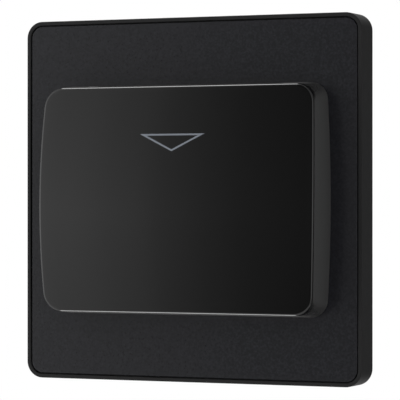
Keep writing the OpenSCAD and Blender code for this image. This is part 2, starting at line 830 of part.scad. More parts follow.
module earth_screw() color("#c9ccd0")
    slotted_screw(earth_x, earth_z, earth_w + screw_proud, screw_head_r, screw_head_h, screw_r,
        earth_w + screw_proud - earth_y - earth_wire_r - tip_gap);

// Tub for the wall box, with terminal wells that open downwards and to the back
module rear_housing() color("#2b2b2e") {
    difference() {
        union() {
            behind(0, housing_depth) round_rect(housing_w, housing_h, housing_r);
            four_ways() {
                rod_y(0, lug_t, lug_x, lug_z, lug_r);
                block(0, lug_x, 0, lug_t, lug_z - lug_r, lug_z + lug_r);
            }
        }
        behind(-past, clamp_front - housing_wall)
            rect(-hollow_w / 2, hollow_w / 2, -hollow_top, hollow_top);
        behind(-past, housing_depth - housing_wall)
            rect(-hollow_w / 2, hollow_w / 2, hollow_bottom, hollow_top);
        for (x = clamp_xs) {
            behind(clamp_front, housing_depth + past)
                rect(x - well_w / 2, x + well_w / 2, -housing_h, well_top);
            block(x - tail_w / 2 - tail_gap, x + tail_w / 2 + tail_gap,
                board_back - tail_gap, board_back + tail_t + tail_gap, well_top - past, hollow_bottom + past);
        }
        four_ways() rod_y(-past, lug_t + past, lug_x, lug_z, tie_r + lug_hole_play);
    }
    for (x = [-1, 1], z = leg_zs)
        behind(board_back, housing_depth - housing_wall + eps)
            translate([x * leg_x, z]) square(leg_w, center = true);
}

module housing_screws() color("#8f9297")
    four_ways()
        slotted_screw(lug_x, lug_z, lug_t, tie_head_r, tie_head_h, tie_r, lug_t + strap_t + tie_bite);

// Board between the bed's legs and the housing's posts, with holes for the switch terminals
module circuit_board() color("#2e6b3f")
    difference() {
        behind(board_front, board_back)
            rect(-hollow_w / 2 + board_gap, hollow_w / 2 - board_gap,
                hollow_bottom + board_gap, hollow_top - board_gap);
        terminal_legs(tag_gap);
    }

// Legs of the three switch terminals, grown by a gap where they pass through something
module terminal_legs(grow) {
    wide = blade_w / 2 + grow;
    for (tag = [[nc_x, room_y0], [no_x, no_y], [com_x, com_y]])
        block(tag.x - grow, tag.x + tag_t + grow, tag.y, board_back + tag_proud + past,
            switch_z - wide, switch_z + wide);
}

// Case of the snap switch, open on its upper side
module switch_case() color("#1b1b1c")
    difference() {
        block(case_x0, case_x1, switch_set_back, board_front, case_z0, case_z1);
        block(room_x0, room_x1, room_y0, room_y1, case_z0 + switch_wall, case_z1 + past);
        rod_y(switch_set_back - past, room_y0 + past, 0, switch_z, plunger_r + plunger_clear);
        terminal_legs(tag_gap);
    }

module switch_lid() color("#2a2a2c")
    block(case_x0, case_x1, switch_set_back, board_front, case_z1, case_z1 + lid_t);

// Plunger with the collar that keeps it in the case
module switch_plunger() color("#c8452f") {
    collar_t = 0.6;
    collar_r = plunger_r + collar_t;
    rod_y(plunger_tip, blade_y - plunger_gap, 0, switch_z, plunger_r);
    rod_y(room_y0 + touch_gap, room_y0 + touch_gap + collar_t, 0, switch_z, collar_r);
}

// Spring blade with a rolled eye that it swings on and a contact on each side of its free end
module contact_blade() color("#c9a35a") {
    block(blade_tip_x, blade_pivot_x + blade_root, blade_y, blade_y + blade_t,
        switch_z - blade_w / 2, switch_z + blade_w / 2);
    rod_z(switch_z - blade_w / 2, switch_z + blade_w / 2, blade_pivot_x, blade_y + blade_t / 2, eye_r);
    rod_y(blade_y - dot_h, blade_y + blade_t + dot_h, dot_x, switch_z, dot_r);
}

// Three terminals that pass through the case and the board
module switch_terminals() color("#d2b26a") {
    z0 = switch_z - blade_w / 2;
    z1 = switch_z + blade_w / 2;
    block(nc_x, nc_x + tag_t, nc_y, board_back + tag_proud, z0, z1);
    block(nc_x, dot_x + dot_r, nc_y, nc_y + tag_t, z0, z1);
    block(no_x, no_x + tag_t, no_y, board_back + tag_proud, z0, z1);
    block(dot_x - dot_r, no_x + tag_t, no_y, no_y + tag_t, z0, z1);
    block(com_x, com_x + tag_t, com_y, board_back + tag_proud, z0, z1);
}

// Surface-mounted light behind the light guide
module indicator_led() color("#e9ead8") {
    base_w = 3.4;
    base_t = led_h / 2;
    lens_r = 1.2;
    block(-base_w / 2, base_w / 2, board_front - base_t, board_front,
        light_z - base_w / 2, light_z + base_w / 2);
    rod_y(board_front - led_h, board_front - base_t + eps, 0, light_z, lens_r);
}

// Relay in its sealed case, with a stepped foot
module relay() color("#1f2d4f") {
    foot = 0.6;
    block(-relay_w / 2, relay_w / 2, board_back + foot, board_back + relay_depth,
        relay_z, relay_z + relay_h);
    block(-relay_w / 2 + foot, relay_w / 2 - foot, board_back, board_back + foot + eps,
        relay_z + foot, relay_z + relay_h - foot);
}

module film_capacitor() color("#c9a227") {
    x1 = can_x - can_r - part_gap;
    behind(board_back, board_back + film_depth) rect(x1 - film_w, x1, supply_z, supply_z + film_h);
}

// Electrolytic can with its bead
module smoothing_capacitor() color("#20242c") {
    bead_set = 1.5;
    bead_depth = 0.3;
    bead_t = 0.8;
    bead_y = board_back + bead_set;
    bead_r = can_r - bead_depth;
    difference() {
        rod_y(board_back, board_back + can_h, can_x, supply_z + can_r, can_r);
        difference() {
            rod_y(bead_y, bead_y + bead_t, can_x, supply_z + can_r, can_r + past);
            rod_y(bead_y - past, bead_y + bead_t + past, can_x, supply_z + can_r, bead_r);
        }
    }
}

// Round surge absorber, standing on its two wires
module surge_disc() color("#2f6fb3") {
    x = can_x - can_r - 2 * part_gap - surge_r;
    y = board_back + wire_stub + surge_r;
    z = supply_z + film_h + part_gap;
    rod_z(z, z + surge_t, x, y, surge_r);
    for (side = [-1, 1])
        rod_y(board_back, y, x + side * surge_r / 2, z + surge_t / 2, pin_wire_r);
}

// Control chip on the front of the board, with a row of legs on each side
module timer_chip() color("#151516") {
    chip_w = 4;
    chip_h = 5;
    chip_t = 1.5;
    lift = 0.15;
    foot_w = 0.45;
    foot_out = 1;
    pitch = 1.27;
    chip_edge = 10;
    x = chip_edge - hollow_w / 2;
    z = 4;
    block(x - chip_w / 2, x + chip_w / 2, board_front - lift - chip_t, board_front - lift,
        z - chip_h / 2, z + chip_h / 2);
    for (i = [-1.5 : 1 : 1.5])
        block(x - chip_w / 2 - foot_out, x + chip_w / 2 + foot_out, board_front - lift - foot_w,
            board_front, z + i * pitch - foot_w / 2, z + i * pitch + foot_w / 2);
}

// Three brass clamps with wire holes that face downwards, and tails to the board
module terminal_clamps() color("#c8a951")
    for (x = clamp_xs) {
        difference() {
            block(x - clamp_w / 2, x + clamp_w / 2, clamp_front, clamp_back, clamp_bottom, clamp_top);
            rod_z(clamp_bottom - past, clamp_top + past, x, wire_y, wire_r);
            rod_y(wire_y, clamp_back + past, x, clamp_screw_z, screw_r + screw_play);
        }
        block(x - tail_w / 2, x + tail_w / 2, board_back, board_back + tail_t, clamp_top - eps, tail_top);
    }

module terminal_screws() color("#c9ccd0")
    for (x = clamp_xs)
        slotted_screw(x, clamp_screw_z, clamp_back + screw_proud, screw_head_r, screw_head_h, screw_r,
            clamp_back + screw_proud - wire_y - wire_r - tip_gap);

plate_frame();
face_plate();
card_cover();
arrow_inlay();
card_bed();
light_guide();
actuator_lever();
lever_pin();
lever_spring();
mounting_strap();
fixing_screws();
earth_clamp();
earth_screw();
rear_housing();
housing_screws();
circuit_board();
switch_case();
switch_lid();
switch_plunger();
contact_blade();
switch_terminals();
indicator_led();
relay();
film_capacitor();
smoothing_capacitor();
surge_disc();
timer_chip();
terminal_clamps();
terminal_screws();
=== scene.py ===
"""Looks of a hotel key card switch: a black wall plate with a raised, glossy cover for the card.

Lengths are metres in the frame of the loaded model: +Z up, the front faces -Y, the wall plane is y = 0.
A depth runs from the wall plane towards the viewer.
"""

import math

import bmesh
import bpy
from bpy.props import FloatProperty, FloatVectorProperty, PointerProperty
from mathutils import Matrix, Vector


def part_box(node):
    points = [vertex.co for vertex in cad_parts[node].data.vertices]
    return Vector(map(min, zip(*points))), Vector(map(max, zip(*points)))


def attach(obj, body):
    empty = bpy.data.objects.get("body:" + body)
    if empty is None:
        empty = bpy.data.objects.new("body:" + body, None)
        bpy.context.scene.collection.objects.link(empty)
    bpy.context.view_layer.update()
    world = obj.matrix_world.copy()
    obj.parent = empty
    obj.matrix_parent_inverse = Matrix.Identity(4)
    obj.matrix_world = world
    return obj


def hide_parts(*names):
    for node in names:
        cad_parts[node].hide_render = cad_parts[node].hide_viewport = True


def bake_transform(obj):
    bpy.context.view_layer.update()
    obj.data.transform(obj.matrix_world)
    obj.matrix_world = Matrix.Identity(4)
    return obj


bl_info = {
    "name": "Key card switch looks",
    "version": (1, 0, 0),
    "blender": (4, 5, 0),
    "location": "View3D > Sidebar > Key card switch",
    "description": "Builds the pieces, finishes and studio of a hotel key card switch",
    "category": "Object",
}

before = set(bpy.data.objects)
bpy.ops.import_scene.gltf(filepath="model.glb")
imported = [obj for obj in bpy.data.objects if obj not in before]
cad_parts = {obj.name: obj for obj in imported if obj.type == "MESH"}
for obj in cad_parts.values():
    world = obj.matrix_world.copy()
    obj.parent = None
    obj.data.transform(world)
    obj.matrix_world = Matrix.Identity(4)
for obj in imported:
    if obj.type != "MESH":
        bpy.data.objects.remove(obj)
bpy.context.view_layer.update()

MM = 0.001
MICRON = 0.000001

# Ending of the finishes' names, because the loaded materials have the plain names of the slots
LOOK = "_look"

# Depths and sizes that the loaded model gives
PLATE_LOW, PLATE_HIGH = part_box("plate_frame")
FACE_LOW, FACE_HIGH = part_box("face_plate")
COVER_LOW, COVER_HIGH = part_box("card_cover")
PLATE_FRONT = -PLATE_LOW.y
FACE_FRONT = -FACE_LOW.y
FACE_BACK = -FACE_HIGH.y
COVER_WIDTH = COVER_HIGH.x - COVER_LOW.x
COVER_HEIGHT = COVER_HIGH.z - COVER_LOW.z
HOOK_FOOT = -COVER_HIGH.y

# How finely the meshes are divided
CORNER_STEPS = 14
FILLET_STEPS = 6
SIDE_STEPS = 26
MOUTH_STEPS = 20
SHOULDER_STEPS = 3
FOOT_STEPS = 3
EDGE_STEPS = 8
WALL_STEPS = 12
ARROW_STEPS = 16
LATHE_STEPS = 40
THREAD_ROWS = 6
COIL_STEPS = 24
WIRE_SIDES = 12

# Solids of the loaded model: points this close are one, edges this flat go, and sharper ones are rounded
MERGE = 2 * MICRON
FLAT = math.radians(0.6)
SHARP = math.radians(35)

# Pieces that take their form from their solids: node, fillet in millimetres, finish, and body off the base
BED_PIECES = (
    ("card_bed", 0.2, "bed_black"),
    ("light_guide", 0.15, "clear_acrylic"),
    ("actuator_lever", 0.2, "lever_acetal", "lever"),
    ("lever_pin", 0.15, "bright_steel"),
)
REAR_PIECES = (
    ("mounting_strap", 0.15, "zinc_steel"),
    ("earth_clamp", 0.25, "terminal_brass"),
    ("rear_housing", 0.4, "housing_black"),
    ("terminal_clamps", 0.25, "terminal_brass"),
)
ELECTRIC_PIECES = (
    ("circuit_board", 0.08, "board_green"),
    ("switch_case", 0.2, "housing_black"),
    ("switch_lid", 0.2, "housing_black"),
    ("switch_plunger", 0.15, "plunger_red", "plunger"),
    ("contact_blade", 0.05, "terminal_brass", "contact"),
    ("switch_terminals", 0.08, "terminal_brass"),
    ("indicator_led", 0.15, "led_white"),
    ("relay", 0.5, "relay_blue"),
    ("film_capacitor", 0.6, "capacitor_yellow"),
    ("smoothing_capacitor", 0.2, "capacitor_sleeve"),
    ("surge_disc", 0.3, "surge_blue"),
    ("timer_chip", 0.05, "housing_black"),
)

# Screws by node: height of the head, radius of the shank, seed of their turning, and the captive ones' neck
SCREWS = {
    "fixing_screws": dict(head=2.2 * MM, shank=1.75 * MM, seed=3, neck=(1.5 * MM, 1.2 * MM), faces_wall=True),
    "housing_screws": dict(head=1.8 * MM, shank=1.25 * MM, seed=5),
    "terminal_screws": dict(head=2.4 * MM, shank=1.6 * MM, seed=8),
    "earth_screw": dict(head=2.4 * MM, shank=1.6 * MM, seed=2),
}

# Finishes of moulded plastic: roughness and depth of the grain, and what differs from the usual
PLASTICS = {
    "frame_black": dict(roughness=0.45, depth=3 * MICRON, Specular_IOR_Level=0.15),
    "arrow_grey": dict(roughness=0.45, depth=4 * MICRON, grains=6000, patches=900, amount=0.08, vary=0.10),
    "bed_black": dict(roughness=0.42, depth=9 * MICRON, rub=0.2),
    "clear_acrylic": dict(roughness=0.06, depth=1.5 * MICRON, grains=1200, patches=300, amount=0.02,
                          vary=0.04, Transmission_Weight=1.0, IOR=1.49),
    "lever_acetal": dict(roughness=0.38, depth=5 * MICRON, rub=0.2),
    "housing_black": dict(roughness=0.48, depth=16 * MICRON, rub=0.25),
    "plunger_red": dict(roughness=0.34, depth=4 * MICRON, rub=0.1),
    "led_white": dict(roughness=0.25, depth=3 * MICRON),
    "relay_blue": dict(roughness=0.32, depth=6 * MICRON, rub=0.15),
    "capacitor_yellow": dict(roughness=0.36, depth=8 * MICRON, rub=0.1),
    "surge_blue": dict(roughness=0.30, depth=8 * MICRON, rub=0.1),
}

# Finishes of plated metal: roughness and depth of the rolling streaks
METALS = {
    "bright_steel": (0.24, 2 * MICRON),
    "zinc_steel": (0.36, 3 * MICRON),
    "terminal_brass": (0.28, 3 * MICRON),
}

# Brightness round the tent by bearing: 0 degrees is in front, 90 on the right and -90 on the left
TENT_RING = {
    -180: 0.04, -150: 0.28, -118: 0.28, -88: 0.45, -62: 1.0, -46: 0.74, -34: 0.41, -28: 0.30, -24: 0.19,
    -20: 0.125, -17: 0.085, -12: 0.057, 0: 0.042, 28: 0.03, 34: 0.16, 42: 0.57, 74: 0.57, 82: 0.26,
    92: 0.07, 112: 0.05, 150: 0.05, 180: 0.04,
}
# Share of the ring's light that is lost at the tent's top and foot
TENT_FALL = 0.7
# The pale patches fade in between these angles off level, and these bearings off the front
PATCH_RISE = (18, 40)
PATCH_BEARING = (90, 129.6)


def length(label, words, value):
    """A size in metres that can be changed."""
    return FloatProperty(name=label, description=words, default=value, min=0, precision=5, unit="LENGTH")


def place(label, words, value):
    """A place in metres, on either side of zero."""
    return FloatProperty(name=label, description=words, default=value, precision=5, unit="LENGTH")


def level(label, words, value):
    """A plain number above zero."""
    return FloatProperty(name=label, description=words, default=value, min=0, precision=3)


def shift(label, words, value):
    """A share of the picture's width, on either side of zero."""
    return FloatProperty(name=label, description=words, default=value, precision=5)


def turning(label, words, value):
    """An angle in radians, shown in degrees."""
    return FloatProperty(name=label, description=words, default=value, min=0, subtype="ANGLE")


def colour(label, words, value):
    """A colour in linear light."""
    return FloatVectorProperty(name=label, description=words, default=value, subtype="COLOR", min=0, max=1)


class PlateSizes(bpy.types.PropertyGroup):
    """Sizes of the frame and the face plate, beside those that their boxes give."""

    corner: length("Corner", "Corner radius of the plate", 4.4 * MM)
    rim: length("Rim", "Width of the rim round the face plate", 1.0 * MM)
    wall: length("Wall", "Thickness of the frame's side walls", 1.8 * MM)
    web: length("Web", "Thickness of the web behind the face plate", 2.0 * MM)
    front_fillet: length("Front fillet", "Fillet of the rim's outer edge", 0.08 * MM)
    rim_fillet: length("Rim fillet", "Fillet of the rim's inner edge", 0.14 * MM)
    back_fillet: length("Back fillet", "Fillet of the frame's edge at the wall", 0.2 * MM)
    face_fillet: length("Face fillet", "Fillet of the face plate's edge", 0.22 * MM)
    cut_width: length("Cut width", "Width of the cut-out for the bed", 70.9 * MM)
    cut_height: length("Cut height", "Height of the cut-out for the bed", 52.7 * MM)
    cut_corner: length("Cut corner", "Corner radius of the cut-out", 0.3 * MM)
    arm_x: length("Arm place", "Distance of the clip arms from the middle", 39.2 * MM)
    arm_z: length("Arm height", "Height of the clip arms above and below the middle", 18.0 * MM)
    arm_half: length("Arm half-width", "Half the width of a clip arm", 3.8 * MM)
    arm_thick: length("Arm thickness", "Thickness of a clip arm", 1.5 * MM)
    arm_foot: length("Arm foot", "Depth of the clip arm's free end", 1.6 * MM)
    arm_root: length("Arm root", "How far the clip arms run into the web", 0.3 * MM)
    arm_fillet: length("Arm fillet", "Fillet of the clip arms' edges", 0.2 * MM)
    catch_low: length("Catch low", "Depth of the clip's lower edge", 2.2 * MM)
    catch_high: length("Catch high", "Depth of the clip's upper edge", 3.4 * MM)
    catch_reach: length("Catch reach", "How far the clip reaches inwards", 1.4 * MM)


class CoverSizes(bpy.types.PropertyGroup):
    """Sizes of the card cover, beside those that its box gives."""

    depth: length("Depth", "Depth of the cover at its crown", 12.4 * MM)
    wall: length("Wall", "Wall thickness", 2.0 * MM)
    corner: length("Corner", "Corner radius", 5.0 * MM)
    foot_corner: length("Foot corner", "Corner radius at the foot", 4.4 * MM)
    bow: length("Bow", "How far each side bows out between its corners", 0.75 * MM)
    draft: length("Draft", "How far each side leans in up to the front", 0.6 * MM)
    fillet: length("Fillet", "Fillet of the front edge", 0.65 * MM)
    lean: length("Lean", "How much further the top and bottom walls lean in up to the front", 0.35 * MM)
    base_fillet: length("Base fillet", "Fillet of the edge on the face plate", 0.15 * MM)
    mouth_fillet: length("Mouth fillet", "Fillet of the mouth's outer edge", 0.35 * MM)
    crown: length("Crown", "Radius of the front from top to bottom", 216 * MM)
    dome: length("Dome", "Radius of the front from side to side", 530 * MM)
    crown_z: place("Crown height", "Height of the front's proudest line", -3.9 * MM)
    slot: length("Slot", "Width of the card slot", 57.0 * MM)
    mouth_low: length("Mouth low", "Depth of the mouth's rear edge, at the bed", 9.6 * MM)
    mouth_high: length("Mouth high", "Depth of the mouth's front edge", 14.95 * MM)
    rib_x: length("Rib place", "Distance of the guide ribs from the middle", 24.4 * MM)
    rib_thick: length("Rib thickness", "Thickness of the guide ribs", 1.2 * MM)
    rib_low: length("Rib depth", "Depth of the guide ribs' free edges", 11.2 * MM)
    rib_lead: length("Rib lead", "How far the guide ribs stop short of the mouth", 4.0 * MM)
    pocket_thick: length("Pocket wall", "Thickness of the pocket's side walls", 1.6 * MM)
    pocket_low: length("Pocket depth", "Depth of the pocket walls' free edges", 9.8 * MM)
    hook_x: length("Hook place", "Distance of the hooks from the middle", 31.6 * MM)
    hook_z: length("Hook height", "Height of the hooks above and below the middle", 15.0 * MM)
    hook_thick: length("Hook thickness", "Thickness of the hooks", 1.2 * MM)
    hook_wide: length("Hook width", "Width of each hook", 6.0 * MM)
    hook_fillet: length("Hook fillet", "Fillet of the hooks' catches", 0.15 * MM)
    sink: length("Sink", "How far inner walls run into the shell", 0.3 * MM)
    arrow_wide: length("Arrow width", "Width of the arrow outline", 18.2 * MM)
    arrow_high: length("Arrow height", "Height of the arrow outline", 4.5 * MM)
    arrow_line: length("Arrow line", "Width of the arrow's line", 0.45 * MM)
    arrow_top: place("Arrow top", "Height of the arrow's upper edge", 16.9 * MM)
    arrow_proud: length("Arrow relief", "How far the line stands out of the front", 0.03 * MM)
    arrow_deep: length("Arrow depth", "How deep the line goes into the front", 0.5 * MM)


class RearSizes(bpy.types.PropertyGroup):
    """Sizes of screws, threads and spring wire."""

    pitch: length("Thread pitch", "Distance from thread to thread", 0.6 * MM)
    thread: length("Thread depth", "Depth of the threads", 0.3 * MM)
    head_fillet: length("Head fillet", "Fillet of the screws' heads", 0.35 * MM)
    slot: length("Slot", "Width of the screwdriver slots", 0.8 * MM)
    spin: turning("Spin", "Most that a screw is turned from level", 0.9)
    wire: length("Wire", "Diameter of the spring wire", 0.5 * MM)
    coil_pitch: length("Coil pitch", "Distance from curl to curl", 1.1 * MM)
    coil_turns: level("Coil turns", "Curls of the spring", 3.5)
    spring_leg: length("Spring leg", "Length of each spring leg", 6.0 * MM)
    leg_gap: length("Leg gap", "How far the upper leg swings clear of the curls", 0.3 * MM)


class Finishes(bpy.types.PropertyGroup):
    """Colours of the materials, in linear light."""

    frame_black: colour("Frame", "Satin black of the frame", (0.0132, 0.0132, 0.0134))
    grained_face: colour("Face", "Black of the grained face plate", (0.0114, 0.0116, 0.0138))
    gloss_cover: colour("Cover", "Glossy black of the cover's front", (0.0020, 0.0020, 0.0020))
    # Painted light: the cover's side walls are the same black plastic as its front, given a paler colour for
    # the light they catch
    cover_wall_painted_light: colour("Cover walls", "Satin black of the cover's side walls", (0.036, 0.036, 0.036))
    arrow_grey: colour("Arrow", "Grey of the arrow line", (0.135, 0.150, 0.176))
    bed_black: colour("Bed", "Black of the bed", (0.014, 0.014, 0.0145))
    clear_acrylic: colour("Light guide", "Tint of the clear rod", (0.93, 0.96, 0.97))
    lever_acetal: colour("Lever", "Dark grey of the lever", (0.042, 0.042, 0.045))
    bright_steel: colour("Steel", "Plated steel of screws, pin and spring", (0.60, 0.61, 0.63))
    zinc_steel: colour("Strap", "Zinc-plated steel of the strap", (0.50, 0.515, 0.54))
    terminal_brass: colour("Brass", "Brass of the terminals", (0.66, 0.47, 0.19))
    housing_black: colour("Housing", "Black of the rear housing", (0.022, 0.022, 0.024))
    board_green: colour("Board", "Green of the circuit board", (0.018, 0.115, 0.045))
    plunger_red: colour("Plunger", "Red of the switch plunger", (0.52, 0.045, 0.022))
    led_white: colour("Light", "White of the locator light", (0.80, 0.80, 0.68))
    relay_blue: colour("Relay", "Dark blue of the relay", (0.014, 0.026, 0.085))
    capacitor_yellow: colour("Film capacitor", "Yellow of the film capacitor", (0.58, 0.36, 0.020))
    capacitor_sleeve: colour("Can sleeve", "Dark sleeve of the capacitor can", (0.014, 0.018, 0.026))
    sleeve_stripe: colour("Sleeve stripe", "Pale stripe down the can's sleeve", (0.42, 0.43, 0.45))
    surge_blue: colour("Surge disc", "Blue of the surge disc", (0.025, 0.155, 0.45))
    floor_pale: colour("Floor", "Pale grey of the floor", (0.61, 0.61, 0.61))


class StudioSettings(bpy.types.PropertyGroup):
    """Camera and light."""

    turn: turning("Turn", "How far the camera stands to the right", math.radians(23.85))
    distance: length("Distance", "From the camera to the plate's front", 647 * MM)
    lens: level("Lens", "Focal length in millimetres", 223.90)
    shift_x: shift("Shift across", "Sideways shift of the view", 0.02583)
    shift_y: shift("Shift up", "Upward shift of the view", -0.0007)
    floor_z: place("Floor height", "Height of the floor", -750 * MM)
    floor_radius: length("Floor radius", "Radius of the floor", 900 * MM)
    tent: length("Tent", "Radius of the diffusing tent", 1500 * MM)
    tent_level: level("Tent level", "Brightness of the tent's brightest part", 2.4)
    rear_level: level("Rear level", "Brightness of the tent behind, above and below", 0.8)
    ambient: level("Ambient", "Light from all sides, unseen in gloss", 0.66)
    lamp_z: length("Lamp height", "Height of the lamps above and below the middle", 350 * MM)
    lamp_front: length("Lamp front", "How far the lamps reach out in front of the wall plane", 30 * MM)
    strip_x: place("Strip place", "Place of the strip lamps across", -140 * MM)
    strip_back: length("Strip reach", "How far the strip lamps reach behind the wall plane", 300 * MM)
    strip_wide: length("Strip width", "Width of the strip lamps", 200 * MM)
    top_strip: level("Top strip", "Brightness of the strip lamp above", 6.0)
    low_strip: level("Low strip", "Brightness of the strip lamp below", 5.0)
    fill_x: place("Fill place", "Place of the fill lamps across", -30 * MM)
    fill_back: length("Fill reach", "How far the fill lamps reach behind the wall plane", 100 * MM)
    fill_wide: length("Fill width", "Width of the fill lamps", 140 * MM)
    top_fill: level("Top fill", "Brightness of the fill lamp above, unseen in gloss", 9.0)
    low_fill: level("Low fill", "Brightness of the fill lamp below, unseen in gloss", 14.0)


def plate():
    return bpy.context.scene.key_plate


def cover():
    return bpy.context.scene.key_cover


def rear():
    return bpy.context.scene.key_rear


def finishes():
    return bpy.context.scene.key_finishes


def studio():
    return bpy.context.scene.key_studio


# Nodes, and the groups that several finishes or pieces share

def feed(tree, socket, value):
    """Links an input to another socket, or sets it to a plain value."""
    if isinstance(value, bpy.types.NodeSocket):
        tree.links.new(value, socket)
    elif socket.type == "RGBA":
        socket.default_value = (*value, 1.0)
    else:
        socket.default_value = value


def add_node(tree, kind, **values):
    """A new node with its inputs fed by name, with underscores for spaces."""
    node = tree.nodes.new(kind)
    for name, value in values.items():
        feed(tree, node.inputs[name.replace("_", " ")], value)
    return node


def math_node(tree, operation, *values, kind="ShaderNodeMath"):
    """The result of a Math or Vector Math node, whose inputs are sockets or plain values."""
    node = tree.nodes.new(kind)
    node.operation = operation
    for socket, value in zip(node.inputs, values):
        feed(tree, socket, value)
    return node.outputs[0]


def noise(tree, vector, scale, detail, roughness=0.5):
    """A noise texture's value, with its scale linked or set."""
    node = add_node(tree, "ShaderNodeTexNoise", Vector=vector, Scale=scale, Detail=detail,
                    Roughness=roughness)
    return node.outputs["Fac"]


def fade(tree, value, low, high):
    """A socket turned smoothly into 0 to 1 between two of its values."""
    node = add_node(tree, "ShaderNodeMapRange", Value=value, From_Min=low, From_Max=high)
    node.interpolation_type = "SMOOTHSTEP"
    return node.outputs["Result"]


def spread(tree, value, middle, width):
    """A noise value turned into one that varies by a width about a middle."""
    node = add_node(tree, "ShaderNodeMapRange", Value=value, From_Min=0.25, From_Max=0.75,
                    To_Min=middle - width / 2, To_Max=middle + width / 2)
    return node.outputs["Result"]


def mix_colours(tree, factor, first, second):
    """Two colours mixed by a socket."""
    node = add_node(tree, "ShaderNodeMix", Factor=factor)
    node.data_type = "RGBA"
    for socket, value in zip([s for s in node.inputs if s.type == "RGBA"], (first, second)):
        feed(tree, socket, value)
    return [s for s in node.outputs if s.type == "RGBA"][0]


def shaded(tone, amount):
    """A colour made lighter or darker by a share."""
    return [min(1.0, c * (1 + amount)) for c in tone]


def new_group(kind, name, inputs, outputs):
    """An empty node group, with the sockets that it is given and those that it puts out."""
    group = bpy.data.node_groups.new(name, kind)
    for in_out, sockets in (("INPUT", inputs), ("OUTPUT", outputs)):
        for label, socket_type in sockets.items():
            group.interface.new_socket(label, in_out=in_out, socket_type="NodeSocket" + socket_type)
    return group, group.nodes.new("NodeGroupInput").outputs, group.nodes.new("NodeGroupOutput").inputs


def shader_group(name, numbers, masks=("Height", "Mottle")):
    """A shader group with a Vector input, named numbers with their usual values, and named masks."""
    inputs = {"Vector": "Vector", **dict.fromkeys(numbers, "Float")}
    group, given, put = new_group("ShaderNodeTree", name, inputs, dict.fromkeys(masks, "Float"))
    for item in group.interface.items_tree:
        if item.name in numbers:
            item.default_value = numbers[item.name]
    return group, given, put


def moulded_grain_group():
    """Grain of a moulded surface: fine pits, with a slow change of tone."""
    group, given, put = shader_group("moulded_grain", {"Grains": 4000.0, "Patches": 350.0})
    feed(group, put["Height"], noise(group, given["Vector"], given["Grains"], detail=3.0, roughness=0.6))
    feed(group, put["Mottle"], noise(group, given["Vector"], given["Patches"], detail=4.0, roughness=0.55))
    return group


def leather_grain_group():
    """Soft cell grain, as on a textured face sheet: rounded cells with bent outlines and fine pits."""
    group, given, put = shader_group("leather_grain", {"Cells": 1500.0, "Patches": 600.0})
    bend = noise(group, given["Vector"], given["Cells"], detail=2.0)
    reach = (0.22 * MM, 0.22 * MM, 0.22 * MM)
    bent = math_node(group, "MULTIPLY_ADD", bend, reach, given["Vector"], kind="ShaderNodeVectorMath")
    cells = add_node(group, "ShaderNodeTexVoronoi", Vector=bent, Scale=given["Cells"])
    cells.feature = "SMOOTH_F1"
    cells.inputs["Smoothness"].default_value = 0.6
    domes = math_node(group, "SUBTRACT", 1.0, cells.outputs["Distance"])
    pits = noise(group, given["Vector"], 7000.0, detail=2.0)
    feed(group, put["Height"], math_node(group, "MULTIPLY_ADD", pits, 0.35, domes))
    slow = noise(group, given["Vector"], given["Patches"], detail=2.0)
    feed(group, put["Mottle"], fade(group, slow, 0.30, 0.82))
    return group


def rolled_metal_group():
    """Long fine streaks of rolled or drawn metal, with cloudy plating."""
    group, given, put = shader_group("rolled_metal", {"Streaks": 5000.0, "Patches": 260.0})
    drawn = math_node(group, "MULTIPLY", given["Vector"], (1.0, 1.0, 0.04), kind="ShaderNodeVectorMath")
    streaks = noise(group, drawn, given["Streaks"], detail=3.0)
    clouds = noise(group, given["Vector"], given["Patches"], detail=5.0, roughness=0.6)
    cloudy = math_node(group, "MULTIPLY", clouds, 0.55)
    feed(group, put["Height"], streaks)
    feed(group, put["Mottle"], math_node(group, "MULTIPLY_ADD", streaks, 0.45, cloudy))
    return group


def rubbed_edges_group():
    """Mask of the edges that handling has rubbed, broken up by noise."""
    group, given, put = shader_group("rubbed_edges", {"Low": 0.52, "High": 0.62}, masks=("Mask",))
    bend = group.nodes.new("ShaderNodeNewGeometry").outputs["Pointiness"]
    edges = add_node(group, "ShaderNodeMapRange", Value=bend, From_Min=given["Low"], From_Max=given["High"])
    broken = noise(group, given["Vector"], 900.0, detail=4.0, roughness=0.65)
    feed(group, put["Mask"], math_node(group, "MULTIPLY", edges.outputs["Result"], broken))
    return group


def piece_tree(name, inputs):
    """A Geometry Nodes tree with a geometry, named inputs and a material, which puts out a geometry."""
    sockets = {"Geometry": "Geometry", **inputs, "Material": "Material"}
    return new_group("GeometryNodeTree", name, sockets, {"Geometry": "Geometry"})


def end_tree(tree, given, put, geometry):
    """Ends a tree: makes its copies real, and gives them the material."""
    real = add_node(tree, "GeometryNodeRealizeInstances", Geometry=geometry)
    paint = add_node(tree, "GeometryNodeSetMaterial", Geometry=real.outputs["Geometry"],
                     Material=given["Material"])
    feed(tree, put["Geometry"], paint.outputs["Geometry"])
    return tree


